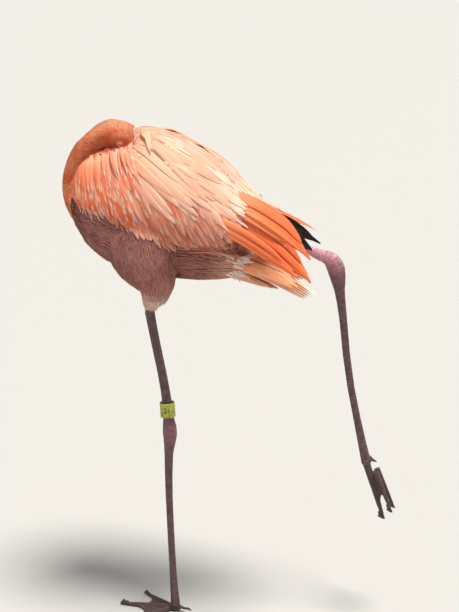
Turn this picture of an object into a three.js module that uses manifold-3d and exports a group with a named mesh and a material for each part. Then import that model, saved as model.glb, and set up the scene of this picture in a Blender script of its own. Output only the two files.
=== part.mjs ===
// American flamingo asleep on its left leg, life size, in millimetres.
// +Z is up, the bird faces -X and its left side is -Y. The neck is laid back so that the head points to
// the tail with its bill under the shoulder feathers, and the right leg is stretched out behind.
// The origin is on the floor, under the joint of the standing foot's toes.
import * as THREE from "three";
import { mergeVertices } from "three/addons/utils/BufferGeometryUtils.js";
import Module from "manifold-3d";

const wasm = await Module();
wasm.setup();

// Driving dimensions.
const GAP = 0.3; // between pieces that touch
const MIDDLE_TOE = 89; // without its claw
const EYE_RADIUS = 6.6;
const BILL_LENGTH = 124; // along its bend
const BILL_BEND = THREE.MathUtils.degToRad(52);
const HEAD_ROLL = THREE.MathUtils.degToRad(42); // the crown leans to the left side
const TOE_SPREAD = THREE.MathUtils.degToRad(36); // of the side toes, on the floor
const TOE_FOLD_OUT = 6.3; // how the raised foot's side toes lie: out from the middle one,
const TOE_FOLD_SINK = 11; // under it,
const TOE_FOLD_TILT = THREE.MathUtils.degToRad(5); // and away from it towards their tips

const point = (x, y, z) => new THREE.Vector3(x, y, z);
const LEFT = -1;
const RIGHT = 1;

// ---------------------------------------------------------------- shapes

// Reads a table of rows [t, a, b, ...] between its rows by a smooth cubic, and gives [a, b, ...].
function sizesAlong(rows) {
  return (t) => {
    let i = 1;
    while (i < rows.length - 1 && rows[i][0] < t) i++;
    const [before, low, high, after] = [i - 2, i - 1, i, i + 1].map(
      (k) => rows[THREE.MathUtils.clamp(k, 0, rows.length - 1)],
    );
    const span = high[0] - low[0];
    const u = THREE.MathUtils.clamp((t - low[0]) / span, 0, 1);
    return low.slice(1).map((_, k) => {
      const value = (row) => row[k + 1];
      const slopeLow = ((value(high) - value(before)) / (high[0] - before[0])) * span;
      const slopeHigh = ((value(after) - value(low)) / (after[0] - low[0])) * span;
      return (
        value(low) * (2 * u ** 3 - 3 * u ** 2 + 1) +
        slopeLow * (u ** 3 - 2 * u ** 2 + u) +
        value(high) * (3 * u ** 2 - 2 * u ** 3) +
        slopeHigh * (u ** 3 - u ** 2)
      );
    });
  };
}

// A geometry from points and triangles, turned so that its faces point out.
function closedGeometry(points, triangles) {
  const volume = triangles.reduce((sum, [a, b, c]) => {
    return sum + points[a].dot(new THREE.Vector3().crossVectors(points[b], points[c]));
  }, 0);
  const facingOut = volume < 0 ? triangles.map(([a, b, c]) => [a, c, b]) : triangles;
  const geometry = new THREE.BufferGeometry().setFromPoints(points);
  geometry.setIndex(facingOut.flat());
  return geometry;
}

// A closed body through rings of points with the same count, with a fan at each end.
function loft(rings) {
  const count = rings[0].length;
  const points = rings.flat();
  const triangles = [];
  for (let i = 0; i < rings.length - 1; i++) {
    for (let j = 0; j < count; j++) {
      const [a, b] = [i * count + j, i * count + ((j + 1) % count)];
      triangles.push([a, b, b + count], [a, b + count, a + count]);
    }
  }
  const middleOf = (ring) =>
    ring.reduce((sum, p) => sum.add(p), point(0, 0, 0)).divideScalar(ring.length);
  for (const [ring, first, flip] of [
    [rings[0], 0, true],
    [rings.at(-1), (rings.length - 1) * count, false],
  ]) {
    const hub = points.push(middleOf(ring)) - 1;
    for (let j = 0; j < count; j++) {
      const [a, b] = [first + j, first + ((j + 1) % count)];
      triangles.push(flip ? [hub, b, a] : [hub, a, b]);
    }
  }
  return closedGeometry(points, triangles);
}

// A closed slab between two sheets, each given as sheet(u, v) with u and v from 0 to 1.
function slab(outer, inner, across, along) {
  const points = [];
  const grid = (sheet) => {
    const first = points.length;
    for (let i = 0; i <= along; i++) {
      for (let j = 0; j <= across; j++) points.push(sheet(i / along, j / across));
    }
    return (i, j) => first + i * (across + 1) + j;
  };
  const [top, under] = [grid(outer), grid(inner)];
  const triangles = [];
  const quad = (a, b, c, d) => triangles.push([a, b, c], [a, c, d]);
  for (let i = 0; i < along; i++) {
    for (let j = 0; j < across; j++) {
      quad(top(i, j), top(i, j + 1), top(i + 1, j + 1), top(i + 1, j));
      quad(under(i, j), under(i + 1, j), under(i + 1, j + 1), under(i, j + 1));
    }
    quad(top(i, 0), top(i + 1, 0), under(i + 1, 0), under(i, 0));
    quad(top(i, across), under(i, across), under(i + 1, across), top(i + 1, across));
  }
  for (let j = 0; j < across; j++) {
    quad(top(0, j), under(0, j), under(0, j + 1), top(0, j + 1));
    quad(top(along, j), top(along, j + 1), under(along, j + 1), under(along, j));
  }
  return closedGeometry(points, triangles);
}

// One ring round a centre: half is its half width along the side direction, and rise and drop are its
// reach along the up direction and against it.
function ring(centre, side, up, half, rise, drop, { power = 2, count = 16 } = {}) {
  return Array.from({ length: count }, (_, j) => {
    const angle = (2 * Math.PI * (j + 0.5)) / count;
    const [c, s] = [Math.cos(angle), Math.sin(angle)];
    const bulge = (value) => Math.sign(value) * Math.abs(value) ** (2 / power);
    return centre
      .clone()
      .addScaledVector(side, half * bulge(c))
      .addScaledVector(up, (s > 0 ? rise : drop) * bulge(s));
  });
}

// A limb along rows of [x, y, z, half depth, half width]. The depth lies in the plane of the limb's bend
// and the width across it, towards +Y where roll is 0.
function limb(rows, { steps = 10, count = 14, roll = 0, grow = 0, from = 0, to = 1, power = 2 } = {}) {
  const path = new THREE.CatmullRomCurve3(rows.map(([x, y, z]) => point(x, y, z)), false, "centripetal");
  const sizes = sizesAlong(rows.map((row, i) => [i / (rows.length - 1), row[3], row[4]]));
  const rings = [];
  for (let i = 0; i <= steps; i++) {
    const t = THREE.MathUtils.lerp(from, to, i / steps);
    const ahead = path.getTangent(t);
    const across = point(0, 1, 0).addScaledVector(ahead, -ahead.y).normalize();
    across.applyAxisAngle(ahead, roll);
    const deepward = new THREE.Vector3().crossVectors(ahead, across);
    const [depth, width] = sizes(t).map((size) => size + grow);
    const overhang = i === 0 ? -grow : i === steps ? grow : 0;
    const centre = path.getPoint(t).addScaledVector(ahead, overhang);
    rings.push(ring(centre, across, deepward, width, depth, depth, { power, count }));
  }
  return loft(rings);
}

// A bundle of long feathers as one thin blade from root to tip, which faces the way that face points.
function blade({ root, bend, tip, width, thick, face, grow = 0 }) {
  const path = new THREE.QuadraticBezierCurve3(point(...root), point(...bend), point(...tip));
  const profile = sizesAlong([
    [0, 0.85, 1],
    [0.3, 1, 0.9],
    [0.6, 1, 0.7],
    [0.85, 0.68, 0.5],
    [1, 0.1, 0.3],
  ]);
  const steps = 7;
  const rings = [];
  for (let i = 0; i <= steps; i++) {
    const ahead = path.getTangent(i / steps);
    const across = new THREE.Vector3().crossVectors(point(...face), ahead).normalize();
    const out = new THREE.Vector3().crossVectors(ahead, across);
    const [wide, deep] = profile(i / steps);
    const overhang = i === 0 ? -grow : i === steps ? grow : 0;
    const centre = path.getPoint(i / steps).addScaledVector(ahead, overhang);
    const [half, depth] = [(width / 2) * wide + grow, (thick / 2) * deep + grow];
    rings.push(ring(centre, across, out, half, depth, depth, { count: 8 }));
  }
  return loft(rings);
}

// ---------------------------------------------------------------- joining and cutting

function solidOf(geometry) {
  const bare = geometry.clone();
  for (const name of Object.keys(bare.attributes)) {
    if (name !== "position") bare.deleteAttribute(name);
  }
  const merged = mergeVertices(bare, 1e-3);
  const mesh = new wasm.Mesh({
    numProp: 3,
    vertProperties: merged.attributes.position.array,
    triVerts: new Uint32Array(merged.index.array),
  });
  return new wasm.Manifold(mesh);
}

function geometryOf(solid) {
  const mesh = solid.getMesh();
  const geometry = new THREE.BufferGeometry();
  geometry.setAttribute("position", new THREE.BufferAttribute(mesh.vertProperties, 3));
  geometry.setIndex(new THREE.BufferAttribute(mesh.triVerts, 1));
  return geometry;
}

// The largest piece of a geometry that is left when the others are taken out of it.
function cut(geometry, ...others) {
  const left = others.reduce((solid, other) => solid.subtract(solidOf(other)), solidOf(geometry));
  const pieces = left.decompose().sort((a, b) => b.volume() - a.volume());
  return geometryOf(pieces[0]);
}

// ---------------------------------------------------------------- materials and nodes

const material = (color, roughness = 0.8) =>
  new THREE.MeshStandardMaterial({ color, roughness, metalness: 0 });
const CORAL = material(0xe8703f);
const PEACH = material(0xf3b795);
const BLUSH = material(0xd99a86);
const FLAME = material(0xf0642c);
const BLACK_QUILL = material(0x1d1718, 0.6);
const LEG_SKIN = material(0x7a5a5e, 0.55);
const JOINT_SKIN = material(0x9c6a74, 0.5);
const WEB_SKIN = material(0x5b4347, 0.55);
const HORN = material(0x2c2424, 0.4);
const BILL_SKIN = material(0xd9b3a8, 0.4);
const IRIS = material(0xe9d77a, 0.1);
const BAND_PLASTIC = material(0x8c8f3a, 0.45);

const bird = new THREE.Group();

function add(name, geometry, finish) {
  const mesh = new THREE.Mesh(geometry, finish);
  mesh.name = name;
  bird.add(mesh);
  return mesh;
}

// ---------------------------------------------------------------- trunk

// x, top, bottom, half width, height of the widest place
const trunkSizes = [
  [-160, 722, 706, 16, 714],
  [-154, 740, 694, 36, 714],
  [-143, 764, 674, 57, 712],
  [-128, 785, 648, 70, 708],
  [-108, 794, 628, 79, 704],
  [-75, 796, 613, 82, 700],
  [-30, 796, 604, 82, 696],
  [15, 788, 598, 74, 691],
  [60, 764, 596, 58, 680],
  [95, 733, 600, 43, 665],
  [120, 708, 606, 32, 654],
  [140, 684, 614, 23, 646],
  [151, 666, 626, 14, 646],
];

function trunk(grow = 0) {
  const sizes = sizesAlong(trunkSizes);
  const rings = [];
  const steps = 11;
  const [front, back] = [trunkSizes[0][0], trunkSizes.at(-1)[0]];
  for (let i = 0; i <= steps; i++) {
    const share = i / steps;
    const t = share + 0.07 * Math.sin(2 * Math.PI * share) * -1; // closer rings at both ends
    const x = THREE.MathUtils.lerp(front, back, t);
    const [top, bottom, half, widest] = sizes(x);
    const overhang = i === 0 ? -grow : i === steps ? grow : 0;
    const centre = point(x + overhang, 0, widest);
    const [rise, drop] = [top - widest + grow, widest - bottom + grow];
    const style = { power: 2.15, count: 18 };
    rings.push(ring(centre, point(0, 1, 0), point(0, 0, 1), half + grow, rise, drop, style));
  }
  return loft(rings);
}

// ---------------------------------------------------------------- neck, head and bill

// From inside the breast, forward and up in a bow, and back over the shoulders.
const neckPath = [
  [-120, 0, 686, 24, 25],
  [-146, 0, 702, 21, 23],
  [-159, 2, 730, 18.5, 20],
  [-158, 3, 757, 18, 18.5],
  [-148.5, 3, 783, 18, 17.5],
  [-136, 2, 802, 18.5, 17.5],
  [-119.5, 0, 819, 20.5, 18],
];

const headPath = [
  [-119.5, 0, 819, 20.5, 18],
  [-106, 0, 825.5, 25, 20.5],
  [-91, 0, 826.5, 27, 21.5],
  [-76, 0, 824.5, 26.5, 21.5],
  [-62, 0, 821, 24.5, 19.5],
  [-49, 0, 816, 21, 15],
  [-41, 0, 812.5, 17.5, 12],
];

const neck = (from, to, grow = 0) => limb(neckPath, { from, to, grow, steps: 5, count: 14 });
const headForm = (grow = 0) => limb(headPath, { roll: HEAD_ROLL, grow, steps: 9, count: 14 });

// The bill runs on from the head and bends towards the chin. Places on it are told by the distance along it.
const headAhead = point(8, 0, -2.4).normalize();
const chinward = point(0, 0, -1)
  .addScaledVector(headAhead, headAhead.z)
  .normalize()
  .applyAxisAngle(headAhead, HEAD_ROLL);
const billSide = new THREE.Vector3().crossVectors(headAhead, chinward);

function billPlace(distance) {
  const place = point(-40.4, 0, 812.2);
  const stride = 1;
  let ahead = headAhead;
  for (let s = 0; s < distance; s += stride) {
    const bent = THREE.MathUtils.smoothstep(s, 0.3 * BILL_LENGTH, 0.66 * BILL_LENGTH) * BILL_BEND;
    ahead = headAhead.clone().applyAxisAngle(billSide, bent);
    place.addScaledVector(ahead, Math.min(stride, distance - s));
  }
  return { place, ahead, down: new THREE.Vector3().crossVectors(billSide, ahead).normalize() };
}

// Share of the bill's length, half width, reach above the middle line and reach below it.
const upperBillSizes = sizesAlong([
  [0, 10, 11, 3],
  [0.3, 8.4, 8, 3],
  [0.55, 8.2, 6, 3],
  [0.8, 6.6, 4.6, 2.6],
  [1, 2.4, 2, 1.6],
]);
const lowerBillSizes = sizesAlong([
  [0, 9.6, 2.5, 9.5],
  [0.3, 9.4, 2.5, 12],
  [0.55, 9.4, 2.5, 13.5],
  [0.8, 6.8, 2.2, 9],
  [0.94, 2.2, 1, 2.6],
]);

function mandible(sizes, share, shift, grow = 0) {
  const steps = 8;
  const rings = [];
  for (let i = 0; i <= steps; i++) {
    const along = (i / steps) * share;
    const { place, ahead, down } = billPlace(along * BILL_LENGTH);
    const [half, rise, drop] = sizes(along).map((size) => size + grow);
    const up = down.clone().negate();
    const overhang = i === 0 ? -grow : i === steps ? grow : 0;
    const centre = place.addScaledVector(down, shift).addScaledVector(ahead, overhang);
    rings.push(ring(centre, billSide, up, half, rise, drop, { count: 10 }));
  }
  return loft(rings);
}

const upperBill = (grow) => mandible(upperBillSizes, 1, -3.2, grow);
const lowerBill = (grow) => mandible(lowerBillSizes, 0.94, 3.2, grow);

// The eyes lie on the two sides of the head, towards the bill.
const EYE_ALONG = -70;
const EYE_OUT = 15.6;
const EYE_UP = 2;

function eye(side, grow = 0) {
  const chin = chinward.clone();
  const centre = point(EYE_ALONG, 0, 823)
    .addScaledVector(billSide, -side * EYE_OUT)
    .addScaledVector(chin, -EYE_UP);
  const ball = new THREE.SphereGeometry(EYE_RADIUS + grow, 10, 6);
  return ball.translate(centre.x, centre.y, centre.z);
}

// ---------------------------------------------------------------- wings

// The outer surface of the folded wings over the body: x, distance of each wing's own middle from the body's,
// half width of both together, height of the widest place, top, and the lower edge of the left and of the
// right wing. The right one is lifted behind by the raised leg.
const wingSizes = sizesAlong([
  [-142, 56, 64, 748, 756, 744, 744],
  [-138, 56, 74, 749, 766, 741, 741],
  [-130, 55, 81, 750, 781, 738, 738],
  [-118, 54, 86, 748, 796, 733, 733],
  [-98, 51, 89, 743, 806, 725, 725],
  [-70, 46, 90, 737, 811, 714, 714],
  [-45, 18, 91, 734, 823, 704, 704],
  [-30, 6, 91, 732, 832, 696, 697],
  [-10, 0, 91, 730, 834, 687, 689],
  [20, 0, 89, 724, 825, 675, 680],
  [55, 0, 84, 716, 808, 668, 677],
  [92, 0, 75, 704, 784, 664, 684],
  [124, 0, 65, 690, 749, 656, 690],
  [151, 0, 55, 680, 725, 648, 688],
  [168, 0, 47, 672, 710, 641, 684],
]);
const WING_DROP = 95; // how far the wings' round form would reach under its widest place
const SCAPULAR_EDGE = THREE.MathUtils.degToRad(60); // from straight up round to the side
// Where a wing's inner edge starts: the turn over its top towards the head, which lies between the wings.
const innerEdge = sizesAlong([
  [-142, -1.2],
  [-98, -1.1],
  [-70, -1],
  [-45, -0.25],
  [-30, 0],
  [170, 0],
]);

const wingDepth = sizesAlong([
  [-142, 5],
  [-130, 8],
  [60, 8],
  [168, 5],
]);

// A point on a wing: turn is the angle round the body from straight up, and inset the depth under the surface.
function wingPoint(side, x, turn, inset) {
  const [middle, half, widest, top] = wingSizes(x);
  const power = 2.45;
  const [c, s] = [Math.cos(turn), Math.sin(turn)];
  const rounded = (value) => Math.sign(value) * Math.abs(value) ** (2 / power);
  const out = middle + (half - middle - inset) * rounded(s);
  const rise = (c > 0 ? top - widest : WING_DROP) - inset;
  return point(x, side * Math.max(out, GAP / 2), widest + rise * rounded(c));
}

function lowerTurn(side, x) {
  const [, , widest, , leftEdge, rightEdge] = wingSizes(x);
  const drop = (widest - (side === LEFT ? leftEdge : rightEdge)) / WING_DROP;
  return Math.PI - Math.acos(THREE.MathUtils.clamp(drop, 0, 1) ** 1.22);
}

function wingPart(side, from, to, startTurn, endTurn, { along, across, grow }) {
  const sheet = (inset) => (u, v) => {
    const x = THREE.MathUtils.lerp(from - grow, to + grow, u);
    const turn = THREE.MathUtils.lerp(startTurn(x) - grow / 60, endTurn(x) + grow / 60, v);
    return wingPoint(side, x, turn, inset(x));
  };
  const deep = (x) => wingDepth(x)[0] + grow;
  return slab(sheet(() => -grow), sheet(deep), across, along);
}

const SHOULDER_START = -142;
const SHOULDER_END = -50;
const WING_STEP = 21.4; // between the stations behind the shoulder, which all parts share
const COVERT_STEPS = 8;
const SCAPULAR_STEPS = 10;

// The three parts of a wing that lie on the body.
const innerTurn = (x) => Math.min(innerEdge(x)[0], 0);

function wingShoulder(side, grow = 0) {
  const lower = (x) => lowerTurn(side, x);
  return wingPart(side, SHOULDER_START, SHOULDER_END - GAP, innerTurn, lower, { along: 6, across: 9, grow });
}

function wingScapulars(side, grow = 0) {
  const end = SHOULDER_END + SCAPULAR_STEPS * WING_STEP;
  const edge = () => SCAPULAR_EDGE;
  return wingPart(side, SHOULDER_END, end, innerTurn, edge, { along: SCAPULAR_STEPS, across: 5, grow });
}

function wingCoverts(side, grow = 0) {
  const end = SHOULDER_END + COVERT_STEPS * WING_STEP;
  const [edge, lower] = [() => SCAPULAR_EDGE + 0.006, (x) => lowerTurn(side, x)];
  return wingPart(side, SHOULDER_END, end, edge, lower, { along: COVERT_STEPS, across: 4, grow });
}

// Long feathers that reach past the coverts to the wing's tip, as root, bend, tip, width and face.
const longFeathers = {
  [LEFT]: {
    tertials_upper: { root: [104, -50, 738], bend: [188, -60, 713], tip: [235, -47, 648], width: 42 },
    tertials_middle: { root: [92, -60, 716], bend: [186, -70, 689], tip: [242, -50, 606], width: 42 },
    tertials_lower: { root: [84, -69, 704], bend: [164, -78, 672], tip: [226, -58, 610], width: 32 },
    primaries: { root: [110, -22, 728], bend: [186, -26, 694], tip: [238, -14, 652], width: 32 },
  },
  [RIGHT]: {
    tertials_upper: { root: [104, 40, 723], bend: [178, 43, 703], tip: [237, 22, 677], width: 32 },
    tertials_middle: { root: [92, 56, 710], bend: [165, 60, 693], tip: [228, 40, 660], width: 34 },
    tertials_lower: { root: [84, 64, 700], bend: [146, 70, 690], tip: [204, 56, 668], width: 30 },
    primaries: { root: [110, 18, 708], bend: [186, 20, 689], tip: [243, 10, 657], width: 26 },
  },
};
const facesOut = {
  tertials_upper: (side) => [0.25, side * 0.8, 0.7],
  tertials_middle: (side) => [0.22, side, 0.28],
  tertials_lower: (side) => [0.18, side, 0.12],
  primaries: (side) => [0.2, side, 0.35],
};

function feathers(side, kind, grow = 0) {
  const thick = kind === "primaries" ? 5 : 6;
  return blade({ ...longFeathers[side][kind], thick, face: facesOut[kind](side), grow });
}

// ---------------------------------------------------------------- tail

// x, height of the ridge, half width, drop of the edges under the ridge, thickness
const tailSizes = sizesAlong([
  [108, 646, 22, 26, 11],
  [130, 640, 28, 26, 9],
  [153, 630, 32, 22, 7],
  [189, 606, 30, 14, 5],
  [214, 590, 21, 7, 4],
  [235, 576, 6, 2, 3],
]);

function tail(grow = 0) {
  const sheet = (above) => (u, v) => {
    const x = THREE.MathUtils.lerp(108 - grow, 235 + grow, u);
    const [ridge, half, drop, thick] = tailSizes(x);
    const out = 2 * v - 1;
    const height = ridge - drop * Math.abs(out) ** 1.7;
    return point(x, out * (half + grow), above ? height + grow : height - thick - 3 * grow);
  };
  return slab(sheet(true), sheet(false), 6, 7);
}

// ---------------------------------------------------------------- legs

// The feathered thigh of each leg, as rows for limb.
const thighPaths = {
  [LEFT]: [
    [-38, -50, 716, 34, 22],
    [-34, -57, 690, 52, 31],
    [-29, -60, 655, 56, 34],
    [-20, -58, 628, 49, 31],
    [-12, -54, 606, 38, 26],
    [-10, -50, 588, 29, 20],
    [-17, -47, 571, 18, 14.5],
    [-22, -45.5, 556, 10.5, 9],
  ],
  [RIGHT]: [
    [-60, 46, 690, 30, 22],
    [-38, 54, 684, 40, 29],
    [-5, 58, 684, 43, 31],
    [35, 58, 687, 36, 27],
    [72, 55, 688, 24, 20],
    [100, 52, 684, 15, 13.5],
    [120, 51, 678, 10.5, 9],
  ],
};
// The bare leg in three lengths, as rows for limb. The ankle is the knob between the shin and the tarsus.
const legPaths = {
  [LEFT]: [
    [-22.2, -45.2, 552, 8.4, 7.4],
    [-17, -42, 515, 7.8, 6.6],
    [-3, -35, 430, 7.8, 6.4],
    [1.5, -32.5, 392, 8.6, 7.2],
    [3.2, -31.2, 368, 9.4, 7.8],
    [4.8, -30, 345, 12.6, 10],
    [3.8, -28.4, 325, 10.6, 8.8],
    [1.6, -26.6, 303, 7.8, 6.8],
    [-0.5, -21, 235, 6.4, 5.2],
    [0, -13.5, 150, 6.2, 5],
    [1.5, -6.5, 66, 6.6, 5.4],
    [3.4, -2, 12, 8.4, 8],
  ],
  [RIGHT]: [
    [123.4, 51, 677, 8.4, 7.4],
    [160, 50.6, 663.5, 7.8, 6.6],
    [213, 50, 643.5, 7.4, 6.4],
    [240, 50, 633, 9.6, 7.8],
    [254, 50, 628, 13, 9.8],
    [262.5, 50, 616, 15, 10.6],
    [267, 50, 598, 13, 9.4],
    [270.6, 50, 576, 8.8, 7.2],
    [276, 50, 540, 6.8, 5.6],
    [288.5, 50, 438, 6.2, 5],
    [306, 50, 352, 6.4, 5.2],
    [322.4, 50, 281, 8.4, 8],
  ],
};
const legLengths = {
  shin: { first: 0, last: 3, steps: 5 },
  ankle: { first: 3, last: 7, steps: 7 },
  tarsus: { first: 7, last: 11, steps: 7 },
};
const LEG_GAP = 0.0008; // in the leg path's own measure
const sideName = { [LEFT]: "left", [RIGHT]: "right" };

const thigh = (side, grow = 0) => limb(thighPaths[side], { steps: 9, count: 12, grow, power: 2.1 });

function legLength(name, side, grow = 0) {
  const { first, last, steps } = legLengths[name];
  const rows = legPaths[side];
  const [from, to] = [first / (rows.length - 1) + LEG_GAP, last / (rows.length - 1) - LEG_GAP];
  return limb(rows, { from, to, steps, count: 10, grow });
}

// ---------------------------------------------------------------- feet

// A foot in its own frame: toes along -X, the sole on z = 0 and the joint of the toes at the origin.
// Spread turns the side toes outward, and fold lets them sink and tilt under the middle one.
function toeShapes({ side, spread, fold }) {
  const sideToe = (way, share) => ({
    length: share * MIDDLE_TOE,
    start: 9,
    half: 5.6,
    high: 10.5,
    place: new THREE.Matrix4()
      .makeTranslation(0, way * TOE_FOLD_OUT * fold, -TOE_FOLD_SINK * fold)
      .multiply(new THREE.Matrix4().makeRotationZ(-way * spread))
      .multiply(new THREE.Matrix4().makeRotationY(-TOE_FOLD_TILT * fold)),
  });
  return {
    inner: sideToe(-side, 0.84),
    middle: { length: MIDDLE_TOE, start: -11, half: 7, high: 13.5, place: new THREE.Matrix4() },
    outer: sideToe(side, 0.9),
  };
}

// A toe's section: flat below, arched above, with pads at its joints.
function toe({ length, start, half, high, place }, grow = 0) {
  const steps = 7;
  const rings = [];
  for (let i = 0; i <= steps; i++) {
    const share = i / steps;
    const pads = 1 + 0.1 * Math.cos(share * 6 * Math.PI);
    const narrow = THREE.MathUtils.lerp(1, 0.5, share) * (i === steps ? 0.75 : 1);
    const rounded = i === 0 ? 0.8 : 1;
    const wide = half * narrow * pads * rounded + grow;
    const tall = high * narrow * (0.94 + 0.06 * pads) + grow;
    const overhang = i === 0 ? grow : i === steps ? -grow : 0;
    const x = -THREE.MathUtils.lerp(start, length, share) + overhang;
    const arch = Array.from({ length: 5 }, (_, j) => {
      const angle = (Math.PI * (j + 0.5)) / 5;
      return point(x, wide * Math.cos(angle), 0.12 * tall + 0.88 * tall * Math.sin(angle));
    });
    const flat = [point(x, -0.72 * wide, -grow), point(x, 0.72 * wide, -grow)];
    rings.push([...arch, ...flat].map((p) => p.applyMatrix4(place)));
  }
  return loft(rings);
}

// The web between the middle toe and a side toe, with a hollow outer edge.
function web(side, middle) {
  const WEB_THICK = 2.2;
  const WEB_LIFT = 2.3; // of its middle, over the sole
  const along = (shape, far) => point(-far, 0, WEB_LIFT).applyMatrix4(shape.place);
  const normal = new THREE.Vector3()
    .crossVectors(along(side, 50).sub(along(middle, 50)), along(middle, 50).sub(along(middle, 0)))
    .normalize();
  const sheet = (offset) => (u, v) => {
    const hollow = 1 - 0.26 * 4 * v * (1 - v);
    const far = (shape) => THREE.MathUtils.lerp(11, 0.82 * shape.length, u * hollow);
    const edge = along(middle, far(middle)).lerp(along(side, far(side)), v);
    return edge.addScaledVector(normal, offset);
  };
  return slab(sheet(WEB_THICK / 2), sheet(-WEB_THICK / 2), 5, 3);
}

// A blunt claw at the end of a toe.
function claw({ length, half, high, place }) {
  const long = 8;
  const rings = [0, 0.35, 0.7, 1].map((share) => {
    const size = 0.42 * Math.sqrt(1.08 - share);
    const [wide, tall] = [half * size, high * size];
    const centre = point(-(length + GAP + long * share), 0, tall + 0.3 * (1 - share) + 0.1);
    const section = ring(centre, point(0, 1, 0), point(0, 0, 1), wide, tall, tall, { count: 6 });
    return section.map((p) => p.applyMatrix4(place));
  });
  return loft(rings);
}

// The small toe on the back of the tarsus, above the others.
const HALLUX = { length: 22, start: 7, half: 3.6, high: 6.5 };

// All pieces of one foot in its place, each with its name and finish.
function footPieces(pose) {
  const toes = toeShapes(pose);
  const middleGrown = toe(toes.middle, GAP);
  const pieces = [["toe_middle", toe(toes.middle), LEG_SKIN]];
  for (const name of ["inner", "outer"]) {
    const sheet = web(toes[name], toes.middle);
    pieces.push([`toe_${name}`, cut(toe(toes[name]), middleGrown), LEG_SKIN]);
    pieces.push([`web_${name}`, cut(sheet, middleGrown, toe(toes[name], GAP)), WEB_SKIN]);
  }
  for (const name of Object.keys(toes)) pieces.push([`claw_${name}`, claw(toes[name]), HORN]);
  for (const [, geometry] of pieces) geometry.applyMatrix4(pose.place);
  const hallux = { ...HALLUX, place: pose.hallux };
  pieces.push(["hallux", cut(toe(hallux), middleGrown.applyMatrix4(pose.place)), LEG_SKIN]);
  pieces.push(["claw_hallux", claw(hallux), HORN]);
  return pieces;
}

// The standing foot is flat on the floor. The raised one hangs with its toes folded and its sole to the rear.
const footPoses = {
  [LEFT]: {
    side: LEFT,
    spread: TOE_SPREAD,
    fold: 0,
    place: new THREE.Matrix4(),
    hallux: new THREE.Matrix4()
      .makeTranslation(4, 0, 6)
      .multiply(new THREE.Matrix4().makeRotationZ(Math.PI - 0.25)),
  },
  [RIGHT]: {
    side: RIGHT,
    spread: THREE.MathUtils.degToRad(6),
    fold: 1,
    place: new THREE.Matrix4()
      .makeTranslation(323, 50, 276)
      .multiply(new THREE.Matrix4().makeRotationY(THREE.MathUtils.degToRad(-106)))
      .multiply(new THREE.Matrix4().makeTranslation(0, 0, -7)),
    hallux: new THREE.Matrix4()
      .makeTranslation(316, 50, 305)
      .multiply(new THREE.Matrix4().makeRotationY(THREE.MathUtils.degToRad(-142))),
  },
};

// ---------------------------------------------------------------- leg band

// A plastic ring, loose on the shin and resting on the ankle, with its outer end lapped over.
const BAND_AT = 382; // height of its middle
const BAND_HIGH = 24;
const BAND_INNER = 11.2;
const BAND_WALL = 1.2;

function legBand() {
  const centre = [2, -32];
  const turns = 1.08 * 2 * Math.PI;
  const radius = (turn) => BAND_INNER + (BAND_WALL + GAP) * THREE.MathUtils.smoothstep(turn, 5.6, 6.5);
  const sheet = (wall) => (u, v) => {
    const turn = u * turns;
    const far = radius(turn) + wall;
    const z = BAND_AT + (v - 0.5) * BAND_HIGH;
    return point(centre[0] + far * Math.cos(turn), centre[1] + far * Math.sin(turn), z);
  };
  return slab(sheet(BAND_WALL), sheet(0), 1, 26);
}

// ---------------------------------------------------------------- assembly

const NECK_CUTS = [0, 0.42, 0.72, 1];
const NECK_GAP = 0.0015; // in the neck path's own measure
const neckNames = ["neck_base", "neck_middle", "neck_top"];
const neckPieces = (grow) =>
  neckNames.map((_, i) => neck(NECK_CUTS[i] + (i ? NECK_GAP : 0), NECK_CUTS[i + 1] - NECK_GAP, grow));
const headAndNeck = [...neckPieces(GAP), headForm(GAP), upperBill(GAP), lowerBill(GAP)];
const trunkGrown = trunk(GAP);

add("trunk", cut(trunk(), ...headAndNeck, tail(GAP)), BLUSH);
neckPieces(0).forEach((piece, i) => add(neckNames[i], piece, CORAL));
const neckTopGrown = neckPieces(GAP)[2];
add("head", cut(headForm(), neckTopGrown, eye(LEFT, GAP), eye(RIGHT, GAP)), CORAL);
add("eye_left", eye(LEFT), IRIS);
add("eye_right", eye(RIGHT), IRIS);
const lowerBillGrown = lowerBill(GAP);
add("bill_upper", cut(upperBill(0), lowerBillGrown, headForm(GAP)), BILL_SKIN);
add("bill_lower", cut(lowerBill(0), headForm(GAP)), BILL_SKIN);

for (const side of [LEFT, RIGHT]) {
  const name = sideName[side];
  const kinds = Object.keys(facesOut);
  const grownFeathers = kinds.map((kind) => feathers(side, kind, GAP));
  const takenOut = [trunkGrown, ...headAndNeck, ...grownFeathers];
  add(`wing_${name}_shoulder`, cut(wingShoulder(side), ...takenOut), PEACH);
  add(`wing_${name}_scapulars`, cut(wingScapulars(side), ...takenOut), PEACH);
  add(`wing_${name}_coverts`, cut(wingCoverts(side), ...takenOut), PEACH);
  kinds.forEach((kind, i) => {
    const over = grownFeathers.slice(0, i);
    const bare = cut(feathers(side, kind), trunkGrown, tail(GAP), ...over);
    add(`wing_${name}_${kind}`, bare, kind === "primaries" ? BLACK_QUILL : FLAME);
  });
  const wingGrown = [wingShoulder(side, GAP), wingCoverts(side, GAP), wingScapulars(side, GAP)];
  add(`thigh_${name}`, cut(thigh(side), trunkGrown, ...wingGrown, ...grownFeathers), BLUSH);
  for (const length of Object.keys(legLengths)) {
    add(`${length}_${name}`, legLength(length, side), length === "ankle" ? JOINT_SKIN : LEG_SKIN);
  }
  for (const [piece, geometry, finish] of footPieces(footPoses[side])) {
    add(`${piece}_${name}`, cut(geometry, legLength("tarsus", side, GAP)), finish);
  }
}
add("tail", tail(), FLAME);
add("leg_band", legBand(), BAND_PLASTIC);

export default bird;
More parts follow.
